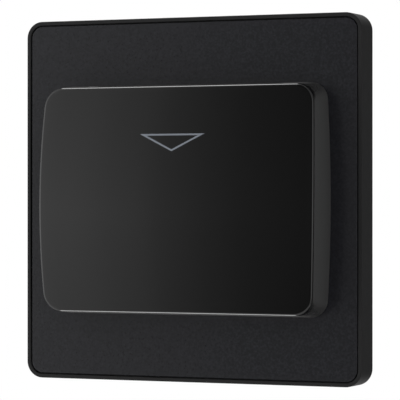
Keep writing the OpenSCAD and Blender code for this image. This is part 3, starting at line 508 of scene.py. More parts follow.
def screw_tree():
    """Sets a copy of one screw on each point, turned into place and spun a little about its axis."""
    tree, given, put = piece_tree(
        "screw_copies", {"Screw": "Object", "Tilt": "Float", "Spin": "Float", "Seed": "Int"})
    points = add_node(tree, "GeometryNodeMeshToPoints", Mesh=given["Geometry"])
    source = add_node(tree, "GeometryNodeObjectInfo", Object=given["Screw"])
    tilt = add_node(tree, "ShaderNodeCombineXYZ", X=given["Tilt"])
    copies = add_node(tree, "GeometryNodeInstanceOnPoints", Points=points.outputs["Points"],
                      Instance=source.outputs["Geometry"], Rotation=tilt.outputs[0])
    chance = add_node(tree, "FunctionNodeRandomValue", Seed=given["Seed"])
    limits = [s for s in chance.inputs if s.type == "VALUE"]
    feed(tree, limits[0], math_node(tree, "MULTIPLY", given["Spin"], -1.0))
    feed(tree, limits[1], given["Spin"])
    number = [s for s in chance.outputs if s.type == "VALUE"][0]
    spin = add_node(tree, "ShaderNodeCombineXYZ", Z=number)
    turned = add_node(tree, "GeometryNodeRotateInstances", Instances=copies.outputs["Instances"],
                      Rotation=spin.outputs[0])
    return end_tree(tree, given, put, turned.outputs["Instances"])


def wire_tree():
    """A round wire along a line of edges, with closed ends."""
    tree, given, put = piece_tree("round_wire", {"Radius": "Float", "Sides": "Int"})
    path = add_node(tree, "GeometryNodeMeshToCurve", Mesh=given["Geometry"])
    ring = add_node(tree, "GeometryNodeCurvePrimitiveCircle", Radius=given["Radius"],
                    Resolution=given["Sides"])
    tube = add_node(tree, "GeometryNodeCurveToMesh", Curve=path.outputs["Curve"],
                    Profile_Curve=ring.outputs["Curve"], Fill_Caps=True)
    return end_tree(tree, given, put, tube.outputs["Mesh"])


GROUP_MAKERS = {
    "moulded_grain": moulded_grain_group,
    "leather_grain": leather_grain_group,
    "rolled_metal": rolled_metal_group,
    "rubbed_edges": rubbed_edges_group,
    "screw_copies": screw_tree,
    "round_wire": wire_tree,
}


def shared_group(name):
    """One of the node groups, built when it is first asked for."""
    return bpy.data.node_groups.get(name) or GROUP_MAKERS[name]()


# Finishes

class Finish:
    """A material with its node tree, Principled shader, Object coordinates and colour at hand."""

    def __init__(self, name):
        self.material = bpy.data.materials.new(name + LOOK)
        self.material.use_nodes = True
        self.tree = self.material.node_tree
        self.shader = self.tree.nodes["Principled BSDF"]
        self.coordinates = self.tree.nodes.new("ShaderNodeTexCoord").outputs
        self.tone = getattr(finishes(), name)

    def give(self, **values):
        """Feeds inputs of the shader by name, with underscores for spaces."""
        for label, value in values.items():
            feed(self.tree, self.shader.inputs[label.replace("_", " ")], value)

    def group(self, name, **values):
        """What a shared group puts out, with its own values here."""
        node = self.tree.nodes.new("ShaderNodeGroup")
        node.node_tree = shared_group(name)
        for label, value in dict(values, Vector=self.coordinates["Object"]).items():
            feed(self.tree, node.inputs[label], value)
        return node.outputs

    def axes(self, coordinate):
        """The X, Y and Z of one of the coordinates."""
        return add_node(self.tree, "ShaderNodeSeparateXYZ", Vector=self.coordinates[coordinate]).outputs

    def tones(self, mask, amount):
        """The finish's colour, made darker and lighter by a mask."""
        return mix_colours(self.tree, mask, shaded(self.tone, -amount), shaded(self.tone, amount))

    def bump(self, height, depth):
        """Relief from a height, of a depth in metres."""
        self.give(Normal=add_node(self.tree, "ShaderNodeBump", Strength=1.0, Distance=depth,
                                  Height=height).outputs["Normal"])


def moulded_plastic(name, roughness, depth, grains=4000, patches=350, amount=0.12, vary=0.08, rub=0.0,
                    **plain):
    """Moulded plastic: fine grain, uneven tone and sheen, and edges that are a little rubbed."""
    finish = Finish(name)
    grain = finish.group("moulded_grain", Grains=grains, Patches=patches)
    body = finish.tones(grain["Mottle"], amount)
    if rub:
        worn = math_node(finish.tree, "MULTIPLY", finish.group("rubbed_edges")["Mask"], rub)
        body = mix_colours(finish.tree, worn, body, shaded(finish.tone, 3.0))
    finish.give(Base_Color=body, Roughness=spread(finish.tree, grain["Mottle"], roughness, vary), **plain)
    finish.bump(grain["Height"], depth)
    return finish.material


def plated_metal(name, roughness, depth):
    """Plated metal: rolling streaks, cloudy plating and bright rubbed edges."""
    finish = Finish(name)
    metal = finish.group("rolled_metal")
    rubbed = finish.group("rubbed_edges")["Mask"]
    body = mix_colours(finish.tree, rubbed, finish.tones(metal["Mottle"], 0.14), shaded(finish.tone, 0.35))
    finish.give(Base_Color=body, Metallic=1.0,
                Roughness=spread(finish.tree, metal["Mottle"], roughness, 0.16))
    finish.bump(metal["Height"], depth)
    return finish.material


def grained_face_finish():
    """Fine-grained black sheet with a soft sheen."""
    finish = Finish("grained_face")
    grain = finish.group("leather_grain", Cells=1900.0, Patches=1800.0)
    finish.give(Base_Color=finish.tones(grain["Mottle"], 0.27), Specular_IOR_Level=0.32,
                Roughness=spread(finish.tree, grain["Mottle"], 0.22, 0.05))
    finish.bump(grain["Height"], 9 * MICRON)
    return finish.material


def gloss_cover_finish():
    """Glossy black front with the faintest smears and ripples, and satin walls whose paler black is painted
    light.
    """
    finish = Finish("gloss_cover")
    grain = finish.group("moulded_grain", Grains=900.0, Patches=55.0)
    # Faces that turn sideways, the cover's walls, get a paler black as painted light, and a rougher satin
    # finish
    wall = fade(finish.tree, finish.axes("Normal")["Y"], -0.15, -0.07)
    front = finish.tones(grain["Mottle"], 0.15)
    polish = spread(finish.tree, grain["Mottle"], 0.09, 0.03)
    finish.give(Base_Color=mix_colours(finish.tree, wall, front, finishes().cover_wall_painted_light),
                Roughness=math_node(finish.tree, "MULTIPLY_ADD", wall, 0.4, polish))
    finish.bump(grain["Height"], 0.4 * MICRON)
    return finish.material


def board_finish():
    """Green solder mask over long copper tracks."""
    finish = Finish("board_green")
    grain = finish.group("moulded_grain", Grains=5000.0, Patches=700.0)
    upright = add_node(finish.tree, "ShaderNodeMapping", Vector=finish.coordinates["Object"],
                       Rotation=(math.radians(90), 0, 0))
    rows = add_node(finish.tree, "ShaderNodeTexBrick", Vector=upright.outputs["Vector"], Scale=210.0,
                    Brick_Width=3.4, Row_Height=0.36, Mortar_Size=0.045, Bias=0.0)
    tracks = rows.outputs["Fac"]
    plain = finish.tones(grain["Mottle"], 0.10)
    finish.give(Base_Color=mix_colours(finish.tree, tracks, plain, shaded(finish.tone, 0.45)),
                Roughness=spread(finish.tree, grain["Mottle"], 0.34, 0.10))
    finish.bump(math_node(finish.tree, "MULTIPLY_ADD", grain["Height"], 0.2, tracks), 20 * MICRON)
    return finish.material


def sleeve_finish():
    """Shrunk sleeve of the capacitor can, with a paler stripe on one side."""
    finish = Finish("capacitor_sleeve")
    grain = finish.group("moulded_grain", Grains=2500.0, Patches=500.0)
    low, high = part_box("smoothing_capacitor")
    stripe_x = low.x + 0.85 * (high.x - low.x)
    stripe = math_node(finish.tree, "GREATER_THAN", finish.axes("Object")["X"], stripe_x)
    plain = finish.tones(grain["Mottle"], 0.15)
    finish.give(Base_Color=mix_colours(finish.tree, stripe, plain, finishes().sleeve_stripe),
                Roughness=spread(finish.tree, grain["Mottle"], 0.30, 0.10))
    finish.bump(grain["Height"], 6 * MICRON)
    return finish.material


SPECIAL_FINISHES = {
    "grained_face": grained_face_finish,
    "gloss_cover": gloss_cover_finish,
    "board_green": board_finish,
    "capacitor_sleeve": sleeve_finish,
}


def build_finish(name):
    """The material of one slot."""
    if name in METALS:
        return plated_metal(name, *METALS[name])
    if name in PLASTICS:
        return moulded_plastic(name, **PLASTICS[name])
    return SPECIAL_FINISHES[name]()


def finish_of(name):
    """A material, built when it is first asked for."""
    return bpy.data.materials.get(name + LOOK) or build_finish(name)


# Meshes

def new_object(name, data):
    """A linked object at the origin."""
    thing = bpy.data.objects.new(name, data)
    bpy.context.scene.collection.objects.link(thing)
    return thing


def mesh_from(bm, name):
    """A mesh from a bmesh, with its faces turned outwards."""
    bmesh.ops.recalc_face_normals(bm, faces=bm.faces)
    mesh = bpy.data.meshes.new(name)
    bm.to_mesh(mesh)
    bm.free()
    return mesh


def made_plain(thing):
    """Turns what an object's modifiers make into its own mesh, and removes them."""
    bpy.context.view_layer.update()
    graph = bpy.context.evaluated_depsgraph_get()
    mesh = bpy.data.meshes.new_from_object(
        thing.evaluated_get(graph), preserve_all_data_layers=True, depsgraph=graph)
    thing.modifiers.clear()
    thing.data = mesh
    mesh.name = thing.name


def run_tree(thing, name, **values):
    """Runs a tree on an object with values for its named inputs, and keeps the result as a plain mesh."""
    tree = shared_group(name)
    modifier = thing.modifiers.new(name, "NODES")
    modifier.node_group = tree
    named = {item.name: item.identifier for item in tree.interface.items_tree if item.in_out == "INPUT"}
    for label, value in values.items():
        modifier[named[label]] = value
    made_plain(thing)


def smooth(thing, angle):
    """Smooth shading up to an angle, with normals led by the larger faces, as plain mesh data."""
    for face in thing.data.polygons:
        face.use_smooth = True
    thing.data.set_sharp_from_angle(angle=math.radians(angle))
    weighted = thing.modifiers.new("Weighted", "WEIGHTED_NORMAL")
    weighted.keep_sharp = True
    weighted.weight = 80
    made_plain(thing)


def dress(thing, slot, node):
    """Gives a finished piece its material in its slot, and hides the node that it stands for."""
    thing.data.materials.clear()
    thing.data.materials.append(finish_of(slot))
    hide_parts(node)


def finished_piece(data, node, slot, body="base", angle=40):
    """A smooth, dressed piece that rides on a body."""
    thing = data if isinstance(data, bpy.types.Object) else new_object(node + "_piece", mesh_from(data, node))
    smooth(thing, angle)
    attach(thing, body)
    dress(thing, slot, node)


def rounded_loop(width, height, radius, depth):
    """Points round a rectangle with rounded corners, at a depth out of the wall."""
    points = []
    for corner, (side, up) in enumerate(((1, 1), (-1, 1), (-1, -1), (1, -1))):
        for step in range(CORNER_STEPS + 1):
            angle = math.radians(90) * (corner + step / CORNER_STEPS)
            x = side * (width / 2 - radius) + radius * math.cos(angle)
            z = up * (height / 2 - radius) + radius * math.sin(angle)
            points.append((x, -depth, z))
    return points


def join_rings(bm, first, second):
    """Quads between two closed rings of as many vertices."""
    for i in range(len(first)):
        j = (i + 1) % len(first)
        bm.faces.new((first[i], first[j], second[j], second[i]))


def loft(bm, loops, closed=False, capped=False):
    """Rings of vertices joined in order: back to the first if closed, with faces on both ends if capped."""
    rings = [[bm.verts.new(point) for point in loop] for loop in loops]
    for first, second in zip(rings, rings[1:]):
        join_rings(bm, first, second)
    if closed:
        join_rings(bm, rings[-1], rings[0])
    if capped:
        bm.faces.new(rings[0])
        bm.faces.new(rings[-1])
    return rings


def quarter_turn(steps=FILLET_STEPS):
    """Sine and cosine along a quarter turn, ends included."""
    angles = [math.radians(90) * i / steps for i in range(steps + 1)]
    return [(math.sin(a), math.cos(a)) for a in angles]


def rounded_edges(bm, edges, fillet, segments):
    """Rounds edges by a fillet."""
    bmesh.ops.bevel(bm, geom=edges, offset=fillet, segments=segments, profile=0.5, affect="EDGES")


def soft_box(bm, low, high, fillet=0.0):
    """A box between two corners, with its edges rounded if a fillet is given."""
    made = bmesh.ops.create_cube(bm, size=1.0)["verts"]
    for vert in made:
        vert.co = Vector([low[k] + (vert.co[k] + 0.5) * (high[k] - low[k]) for k in range(3)])
    if fillet:
        rounded_edges(bm, list({edge for vert in made for edge in vert.link_edges}), fillet, segments=2)


def mirrored(side, near, far):
    """Two places on the right or the left of the middle, the lower one first."""
    return sorted((side * near, side * far))


def solid_of(node):
    """A node's solid, with its loose triangles joined."""
    bm = bmesh.new()
    bm.from_mesh(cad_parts[node].data)
    bmesh.ops.remove_doubles(bm, verts=bm.verts, dist=MERGE)
    return bm


def softened(node, fillet, slot, body="base"):
    """A copy of a node's solid with its sharp edges rounded, as a moulded or pressed piece has them."""
    bm = solid_of(node)
    bmesh.ops.dissolve_limit(bm, angle_limit=FLAT, verts=bm.verts, edges=bm.edges)
    rounded_edges(bm, [e for e in bm.edges if e.calc_face_angle(0) > SHARP], fillet * MM, segments=3)
    finished_piece(bm, node, slot, body)


# Frame and face plate

def plate_loop(inset, depth):
    """Outline of the plate, set in from its edge."""
    sizes = plate()
    width = PLATE_HIGH.x - PLATE_LOW.x - 2 * inset
    height = PLATE_HIGH.z - PLATE_LOW.z - 2 * inset
    return rounded_loop(width, height, max(sizes.corner - inset, sizes.cut_corner), depth)


def cut_loop(depth):
    """Outline of the cut-out behind the cover."""
    sizes = plate()
    return rounded_loop(sizes.cut_width, sizes.cut_height, sizes.cut_corner, depth)


def build_frame():
    """Frame with its filleted rim, web and side walls, and the four clip arms behind it."""
    sizes = plate()
    web_back = FACE_BACK - sizes.web
    big = sizes.front_fillet
    small = sizes.rim_fillet
    back = sizes.back_fillet
    profile = [(back * (1 - s), back * (1 - c)) for s, c in quarter_turn()]
    profile += [(big * (1 - c), PLATE_FRONT - big * (1 - s)) for s, c in quarter_turn()]
    profile += [(sizes.rim - small * (1 - s), PLATE_FRONT - small * (1 - c)) for s, c in quarter_turn()]
    profile += [(sizes.rim, FACE_BACK)]
    inside = [(sizes.wall, web_back), (sizes.wall, back), (sizes.wall - back, 0.0)]
    bm = bmesh.new()
    loops = [plate_loop(*spot) for spot in profile]
    loops += [cut_loop(FACE_BACK), cut_loop(web_back)]
    loops += [plate_loop(*spot) for spot in inside]
    loft(bm, loops, closed=True)
    for side in (-1, 1):
        arm = mirrored(side, sizes.arm_x, sizes.arm_x + sizes.arm_thick)
        catch = mirrored(side, sizes.arm_x - sizes.catch_reach, sizes.arm_x + sizes.arm_thick / 3)
        for up in (-1, 1):
            low = up * sizes.arm_z - sizes.arm_half
            high = up * sizes.arm_z + sizes.arm_half
            soft_box(bm, (arm[0], -web_back - sizes.arm_root, low), (arm[1], -sizes.arm_foot, high),
                     sizes.arm_fillet)
            soft_box(bm, (catch[0], -sizes.catch_high, low), (catch[1], -sizes.catch_low, high),
                     sizes.arm_fillet)
    finished_piece(bm, "plate_frame", "frame_black")


def build_face():
    """Grained sheet in the frame, with a softly rounded edge."""
    inset = PLATE_HIGH.x - FACE_HIGH.x
    soft = plate().face_fillet
    profile = [(inset, FACE_BACK)]
    profile += [(inset + soft * (1 - c), FACE_FRONT - soft * (1 - s)) for s, c in quarter_turn()]
    bm = bmesh.new()
    loops = [plate_loop(*spot) for spot in profile]
    loops += [cut_loop(FACE_FRONT), cut_loop(FACE_BACK)]
    loft(bm, loops, closed=True)
    finished_piece(bm, "face_plate", "grained_face")


# Card cover

def front_depth(x, z, inset=0.0):
    """Depth of the cover's front out of the wall, or of a surface that lies a wall behind it."""
    sizes = cover()
    across = math.sqrt((sizes.crown - inset) ** 2 - (z - sizes.crown_z) ** 2)
    reach = sizes.dome - sizes.crown + across
    return FACE_FRONT + sizes.depth - sizes.dome + math.sqrt(reach ** 2 - x ** 2)


def bowed_side(width, height, radius):
    """Points and outward directions up the right side of the cover, with both its corners."""
    bow = cover().bow
    side_z = height / 2 - radius
    lean = math.atan(2 * bow / side_z)
    turn = radius / (1 - math.sin(lean))
    end_x = width / 2 - bow - turn * math.cos(lean)
    end_z = side_z - turn * math.sin(lean)
    corner = []
    for step in range(1, CORNER_STEPS + 1):
        angle = lean + (math.radians(90) - lean) * step / CORNER_STEPS
        out = (math.cos(angle), math.sin(angle))
        corner.append((end_x + turn * out[0], end_z + turn * out[1], *out))
    middle = []
    for step in range(SIDE_STEPS + 1):
        z = side_z * (2 * step / SIDE_STEPS - 1)
        slope = math.atan(2 * bow * z / side_z ** 2)
        middle.append((width / 2 - bow * (z / side_z) ** 2, z, math.cos(slope), math.sin(slope)))
    lower = [(x, -z, out_x, -out_z) for x, z, out_x, out_z in reversed(corner)]
    return lower + middle + corner


def columns(end_x):
    """Places across the top edge, with the card mouth's two ends among them."""
    half = cover().slot / 2
    shoulder = [end_x + (half - end_x) * i / SHOULDER_STEPS for i in range(SHOULDER_STEPS)]
    mouth = [half - 2 * half * i / MOUTH_STEPS for i in range(MOUTH_STEPS + 1)]
    return shoulder + mouth + [-x for x in reversed(shoulder)]


def bowed_loop(side):
    """The whole outline from its right side: up the right, along the top, down the left, along the foot."""
    top_x, top_z = side[-1][:2]
    top = [(x, top_z, 0.0, 1.0) for x in columns(top_x)[1:-1]]
    left = [(-x, z, -out_x, out_z) for x, z, out_x, out_z in reversed(side)]
    foot = [(-x, -z, 0.0, -out_z) for x, z, out_x, out_z in top]
    return side + top + left + foot


def fill_front(bm, ring, side_count, inset):
    """Rows of quads across the front, between the two sides of a ring that lies on it."""
    across = len(columns(1.0)) - 1
    left_start = side_count + across - 1
    rows = []
    for i in range(side_count):
        right = ring[i]
        left = ring[left_start + side_count - 1 - i]
        if i == side_count - 1:
            inner = ring[side_count:left_start]
        elif i == 0:
            inner = list(reversed(ring[left_start + side_count:]))
        else:
            spots = columns(ring[side_count - 1].co.x)
            grow = right.co.x / spots[0]
            inner = [bm.verts.new((x * grow, -front_depth(x * grow, right.co.z, inset), right.co.z))
                     for x in spots[1:-1]]
        rows.append([right, *inner, left])
    for lower, upper in zip(rows, rows[1:]):
        for j in range(across):
            bm.faces.new((lower[j], lower[j + 1], upper[j + 1], upper[j]))


def leaned(spot, depth):
    """A point of the cover's outline at a depth, drawn in by the draft, with its outward direction."""
    sizes = cover()
    rise = (depth - FACE_FRONT) / sizes.depth
    across = 1 - 2 * sizes.draft * rise / COVER_WIDTH
    up = 1 - 2 * (sizes.draft + sizes.lean) * rise / COVER_HEIGHT
    return spot[0] * across, spot[1] * up, spot[2], spot[3]


def between(foot, outline, depth):
    """The cover's outline at a depth, on its way from the one at the foot to the one at the front."""
    rise = min((depth - FACE_FRONT) / cover().depth, 1.0)
    return [tuple(a + (b - a) * rise for a, b in zip(*pair)) for pair in zip(foot, outline)]


def cover_shell(bm):
    """Hollow shell of the cover with its filleted front edge and the card mouth in its top."""
    sizes = cover()
    side = bowed_side(COVER_WIDTH, COVER_HEIGHT, sizes.corner)
    outline = bowed_loop(side)
    foot = bowed_loop(bowed_side(COVER_WIDTH, COVER_HEIGHT, sizes.foot_corner))
    loops = []
    for s, c in quarter_turn(FOOT_STEPS):
        inset = sizes.base_fillet * (1 - s)
        depth = FACE_FRONT + sizes.base_fillet * (1 - c)
        loops.append([(x - out_x * inset, -depth, z - out_z * inset) for x, z, out_x, out_z in foot])
    mouth = len(loops)
    for depth in (sizes.mouth_low, sizes.mouth_high):
        drawn = [leaned(spot, depth) for spot in between(foot, outline, depth)]
        loops.append([(x, -depth, z) for x, z, out_x, out_z in drawn])
    for s, c in quarter_turn(EDGE_STEPS):
        loop = []
        for spot in outline:
            x, z, out_x, out_z = leaned(spot, front_depth(spot[0], spot[1]))
            x -= out_x * sizes.fillet * (1 - c)
            z -= out_z * sizes.fillet * (1 - c)
            loop.append((x, -front_depth(x, z) + sizes.fillet * (1 - s), z))
        loops.append(loop)
    outer = loft(bm, loops)
    fill_front(bm, outer[-1], len(side), 0.0)
    shrink = 2 * (sizes.wall + sizes.draft)
    inner_side = bowed_side(COVER_WIDTH - shrink, COVER_HEIGHT - shrink, sizes.corner - sizes.wall)
    inner_outline = bowed_loop(inner_side)
    inner_loops = [[(x, -depth, z) for x, z, out_x, out_z in inner_outline]
                   for depth in (FACE_FRONT, sizes.mouth_low, sizes.mouth_high)]
    inner_loops.append([(x, -front_depth(x, z, sizes.wall), z) for x, z, out_x, out_z in inner_outline])
    inner = loft(bm, inner_loops)
    fill_front(bm, inner[-1], len(side), sizes.wall)
    join_rings(bm, outer[0], inner[0])
    open_mouth(bm, len(side), outer[mouth:mouth + 2], inner[1:3])


def open_mouth(bm, side_count, outer, inner):
    """Opens the card mouth between two rings of each wall, and closes its cheeks and lips."""
    first = side_count - 1 + SHOULDER_STEPS
    last = first + MOUTH_STEPS
    for i in range(first, last):
        for low, high in (outer, inner):
            bm.faces.remove(bm.faces.get((low[i], low[i + 1], high[i + 1], high[i])))
        for lip, back in zip(outer, inner):
            bm.faces.new((lip[i], lip[i + 1], back[i + 1], back[i]))
    for i in (first, last):
        bm.faces.new((outer[0][i], outer[1][i], inner[1][i], inner[0][i]))
    bm.edges.index_update()
    mouth = [bm.edges.get((lip[i], lip[i + 1])) for lip in outer for i in range(first, last)]
    mouth += [bm.edges.get((outer[0][i], outer[1][i])) for i in (first, last)]
    rounded_edges(bm, mouth, cover().mouth_fillet, segments=3)


def inner_wall(bm, x_low, x_high, z_low, z_high, foot):
    """A wall that stands behind the front and follows it, from its foot into the shell."""
    inset = cover().wall - cover().sink
    loops = []
    for step in range(WALL_STEPS + 1):
        z = z_low + (z_high - z_low) * step / WALL_STEPS
        loops.append([(x_low, -foot, z), (x_high, -foot, z),
                      (x_high, -front_depth(x_high, z, inset), z), (x_low, -front_depth(x_low, z, inset), z)])
    loft(bm, loops, capped=True)


def build_cover():
    """The cover: its shell, pocket walls, guide ribs and hooks."""
    sizes = cover()
    bm = bmesh.new()
    cover_shell(bm)
    half = COVER_HEIGHT / 2 - sizes.wall - sizes.draft
    for side in (-1, 1):
        pocket = mirrored(side, sizes.slot / 2, sizes.slot / 2 + sizes.pocket_thick)
        inner_wall(bm, *pocket, -half - sizes.sink, half + sizes.sink, sizes.pocket_low)
        rib = mirrored(side, sizes.rib_x - sizes.rib_thick / 2, sizes.rib_x + sizes.rib_thick / 2)
        inner_wall(bm, *rib, -half - sizes.sink, half - sizes.rib_lead, sizes.rib_low)
        hook = mirrored(side, sizes.hook_x, sizes.hook_x + sizes.hook_thick)
        catch = mirrored(side, sizes.hook_x - sizes.hook_thick, sizes.hook_x + sizes.sink)
        for up in (-1, 1):
            low = up * sizes.hook_z - sizes.hook_wide / 2
            high = up * sizes.hook_z + sizes.hook_wide / 2
            inner_wall(bm, *hook, low, high, HOOK_FOOT)
            soft_box(bm, (catch[0], -HOOK_FOOT - sizes.hook_thick, low), (catch[1], -HOOK_FOOT, high),
                     sizes.hook_fillet)
    finished_piece(bm, "card_cover", "gloss_cover")


def build_arrow():
    """Arrow line that follows the cover's front, a hair proud of it."""
    sizes = cover()
    half = sizes.arrow_wide / 2
    edge = math.hypot(half, sizes.arrow_high)
    in_radius = sizes.arrow_wide * sizes.arrow_high / (sizes.arrow_wide + 2 * edge)
    tips = [Vector((-half, sizes.arrow_top)), Vector((0, sizes.arrow_top - sizes.arrow_high)),
            Vector((half, sizes.arrow_top))]
    middle = Vector((0, sizes.arrow_top - in_radius))

    def loop(inset, rise):
        shrink = 1 - inset / in_radius
        corners = [middle + (tip - middle) * shrink for tip in tips]
        points = []
        for start, end in zip(corners, corners[1:] + corners[:1]):
            for step in range(ARROW_STEPS):
                spot = start.lerp(end, step / ARROW_STEPS)
                points.append((spot.x, -front_depth(spot.x, spot.y) - rise, spot.y))
        return points

    soft = sizes.arrow_proud
    line = sizes.arrow_line
    deep = sizes.arrow_deep
    profile = [(0, -deep), (0, 0), (soft, soft), (line - soft, soft), (line, 0), (line, -deep)]
    bm = bmesh.new()
    loft(bm, [loop(*spot) for spot in profile], closed=True)
    finished_piece(bm, "arrow_inlay", "arrow_grey", angle=50)


# Screws and spring

def screw_rows(head_radius, head_height, shank_radius, shank_length, neck_radius, neck_length):
    """Rows of a turned screw from its tip to the rim of its head: radius, height and thread depth."""
    sizes = rear()
    tip = -shank_length
    thread = min(sizes.thread, shank_radius / 4)
    step = sizes.pitch / THREAD_ROWS
    count = max(1, int((shank_length - neck_length - 2 * thread) / step))
    rows = [(shank_radius - 2 * thread, tip, 0.0), (shank_radius - thread, tip + thread, 0.0)]
    rows += [(shank_radius, tip + 1.5 * thread + step * i, thread) for i in range(count)]
    rows += [(neck_radius, -neck_length, 0.0), (neck_radius, 0.0, 0.0)]
    soft = min(sizes.head_fillet, head_height / 3)
    rows += [(head_radius - soft / 3, 0.0, 0.0), (head_radius, soft / 3, 0.0)]
    rows += [(head_radius - soft * (1 - c), head_height - soft * (1 - s), 0.0) for s, c in quarter_turn(4)]
    return rows


def screw_shape(name, rows, head_radius, head_height):
    """One slotted screw along Z, its head upwards and its seat at the origin."""
    sizes = rear()
    loops = []
    for radius, height, thread in rows:
        loop = []
        for i in range(LATHE_STEPS):
            wind = (height / sizes.pitch - i / LATHE_STEPS) % 1.0
            r = radius - thread * abs(2 * wind - 1)
            angle = math.tau * i / LATHE_STEPS
            loop.append((r * math.cos(angle), r * math.sin(angle), height))
        loops.append(loop)
    bm = bmesh.new()
    loft(bm, loops, capped=True)
    screw = new_object(name, mesh_from(bm, name))
    slot = bmesh.new()
    soft_box(slot, (-2 * head_radius, -sizes.slot / 2, head_height / 2),
             (2 * head_radius, sizes.slot / 2, 2 * head_height))
    cutter = new_object(name + "_slot", mesh_from(slot, name + "_slot"))
    cut = screw.modifiers.new("Slot", "BOOLEAN")
    cut.operation = "DIFFERENCE"
    cut.solver = "EXACT"
    cut.object = cutter
    made_plain(screw)
    bpy.data.objects.remove(cutter)
    return screw


def node_solids(node):
    """Boxes of the separate solids of a node, in order of place."""
    bm = solid_of(node)
    left = set(bm.verts)
    boxes = []
    while left:
        reached = [left.pop()]
        for vert in reached:
            for edge in vert.link_edges:
                other = edge.other_vert(vert)
                if other in left:
                    left.discard(other)
                    reached.append(other)
        low = Vector([min(v.co[k] for v in reached) for k in range(3)])
        high = Vector([max(v.co[k] for v in reached) for k in range(3)])
        boxes.append((low, high))
    bm.free()
    return sorted(boxes, key=lambda box: (round(box[0].z, 6), round(box[0].x, 6)))


def set_of_screws(node, head, shank, seed, neck=None, faces_wall=False):
    """All the screws of a node, each where its solid is, with threads and slotted heads."""
    boxes = node_solids(node)
    low, high = boxes[0]
    head_radius = (high.x - low.x) / 2
    neck_radius, neck_length = neck or (shank - rear().thread, 0.0)
    rows = screw_rows(head_radius, head, shank, high.y - low.y - head, neck_radius, neck_length)
    screw = screw_shape(node + "_one", rows, head_radius, head)
    seat = low.y + head if faces_wall else high.y - head
    points = bpy.data.meshes.new(node)
    points.from_pydata([((a.x + b.x) / 2, seat, (a.z + b.z) / 2) for a, b in boxes], [], [])
    thing = new_object(node + "_piece", points)
    run_tree(thing, "screw_copies", Screw=screw, Tilt=math.radians(90 if faces_wall else -90),
             Spin=rear().spin, Seed=seed, Material=finish_of("bright_steel"))
    bpy.data.objects.remove(screw)
    finished_piece(thing, node, "bright_steel")


def build_spring():
    """Torsion spring on the lever's pin, built as a still wire; on the real switch it winds as the lever
    turns.
    """
    sizes = rear()
    low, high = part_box("lever_spring")
    pin_low, pin_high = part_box("lever_pin")
    pivot_y = (pin_low.y + pin_high.y) / 2
    pivot_z = (pin_low.z + pin_high.z) / 2
    radius = high.y - pivot_y - sizes.wire / 2
    x_near = low.x + sizes.wire / 2
    x_far = high.x - sizes.wire / 2
    points = [(x_far, low.y + sizes.wire / 2, pivot_z + sizes.spring_leg),
              (x_far, pivot_y - radius - sizes.leg_gap, pivot_z + sizes.spring_leg / 3)]
    for i in range(int(COIL_STEPS * sizes.coil_turns) + 1):
        turn = i / COIL_STEPS
        angle = math.tau * turn
        points.append((x_far - sizes.coil_pitch * turn, pivot_y - radius * math.cos(angle),
                       pivot_z - radius * math.sin(angle)))
    points += [(x_near, pivot_y + radius, pivot_z - sizes.spring_leg / 2),
               (x_near, pivot_y + radius, pivot_z - sizes.spring_leg)]
    mesh = bpy.data.meshes.new("lever_spring")
    mesh.from_pydata(points, [(i, i + 1) for i in range(len(points) - 1)], [])
    thing = new_object("lever_spring_piece", mesh)
    run_tree(thing, "round_wire", Radius=sizes.wire / 2, Sides=WIRE_SIDES, Material=finish_of("bright_steel"))
    smooth(thing, 60)
    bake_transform(thing)
    dress(thing, "bright_steel", "lever_spring")


# Stage

def studio_lamp(name, x, z, back, width, in_gloss):
    """A soft lamp that runs back from in front of the object, and that the camera does not see."""
    front = -studio().lamp_front
    light = bpy.data.lights.new(name, "AREA")
    light.shape = "RECTANGLE"
    light.size = width
    light.size_y = back - front
    light.energy = 4 * width * (back - front) * getattr(studio(), name)
    thing = new_object(name, light)
    thing.location = (x, (front + back) / 2, z)
    thing.rotation_euler.y = math.pi if z < 0 else 0.0
    thing.visible_camera = False
    thing.visible_glossy = in_gloss


def build_lamps():
    """Strip lamps above and below, which show in gloss, and fill lamps, which don't."""
    view = studio()
    kinds = (("strip", view.strip_x, view.strip_back, view.strip_wide, True),
             ("fill", view.fill_x, view.fill_back, view.fill_wide, False))
    for kind, x, back, width, in_gloss in kinds:
        for end, z in (("top", view.lamp_z), ("low", -view.lamp_z)):
            studio_lamp(end + "_" + kind, x, z, back, width, in_gloss)


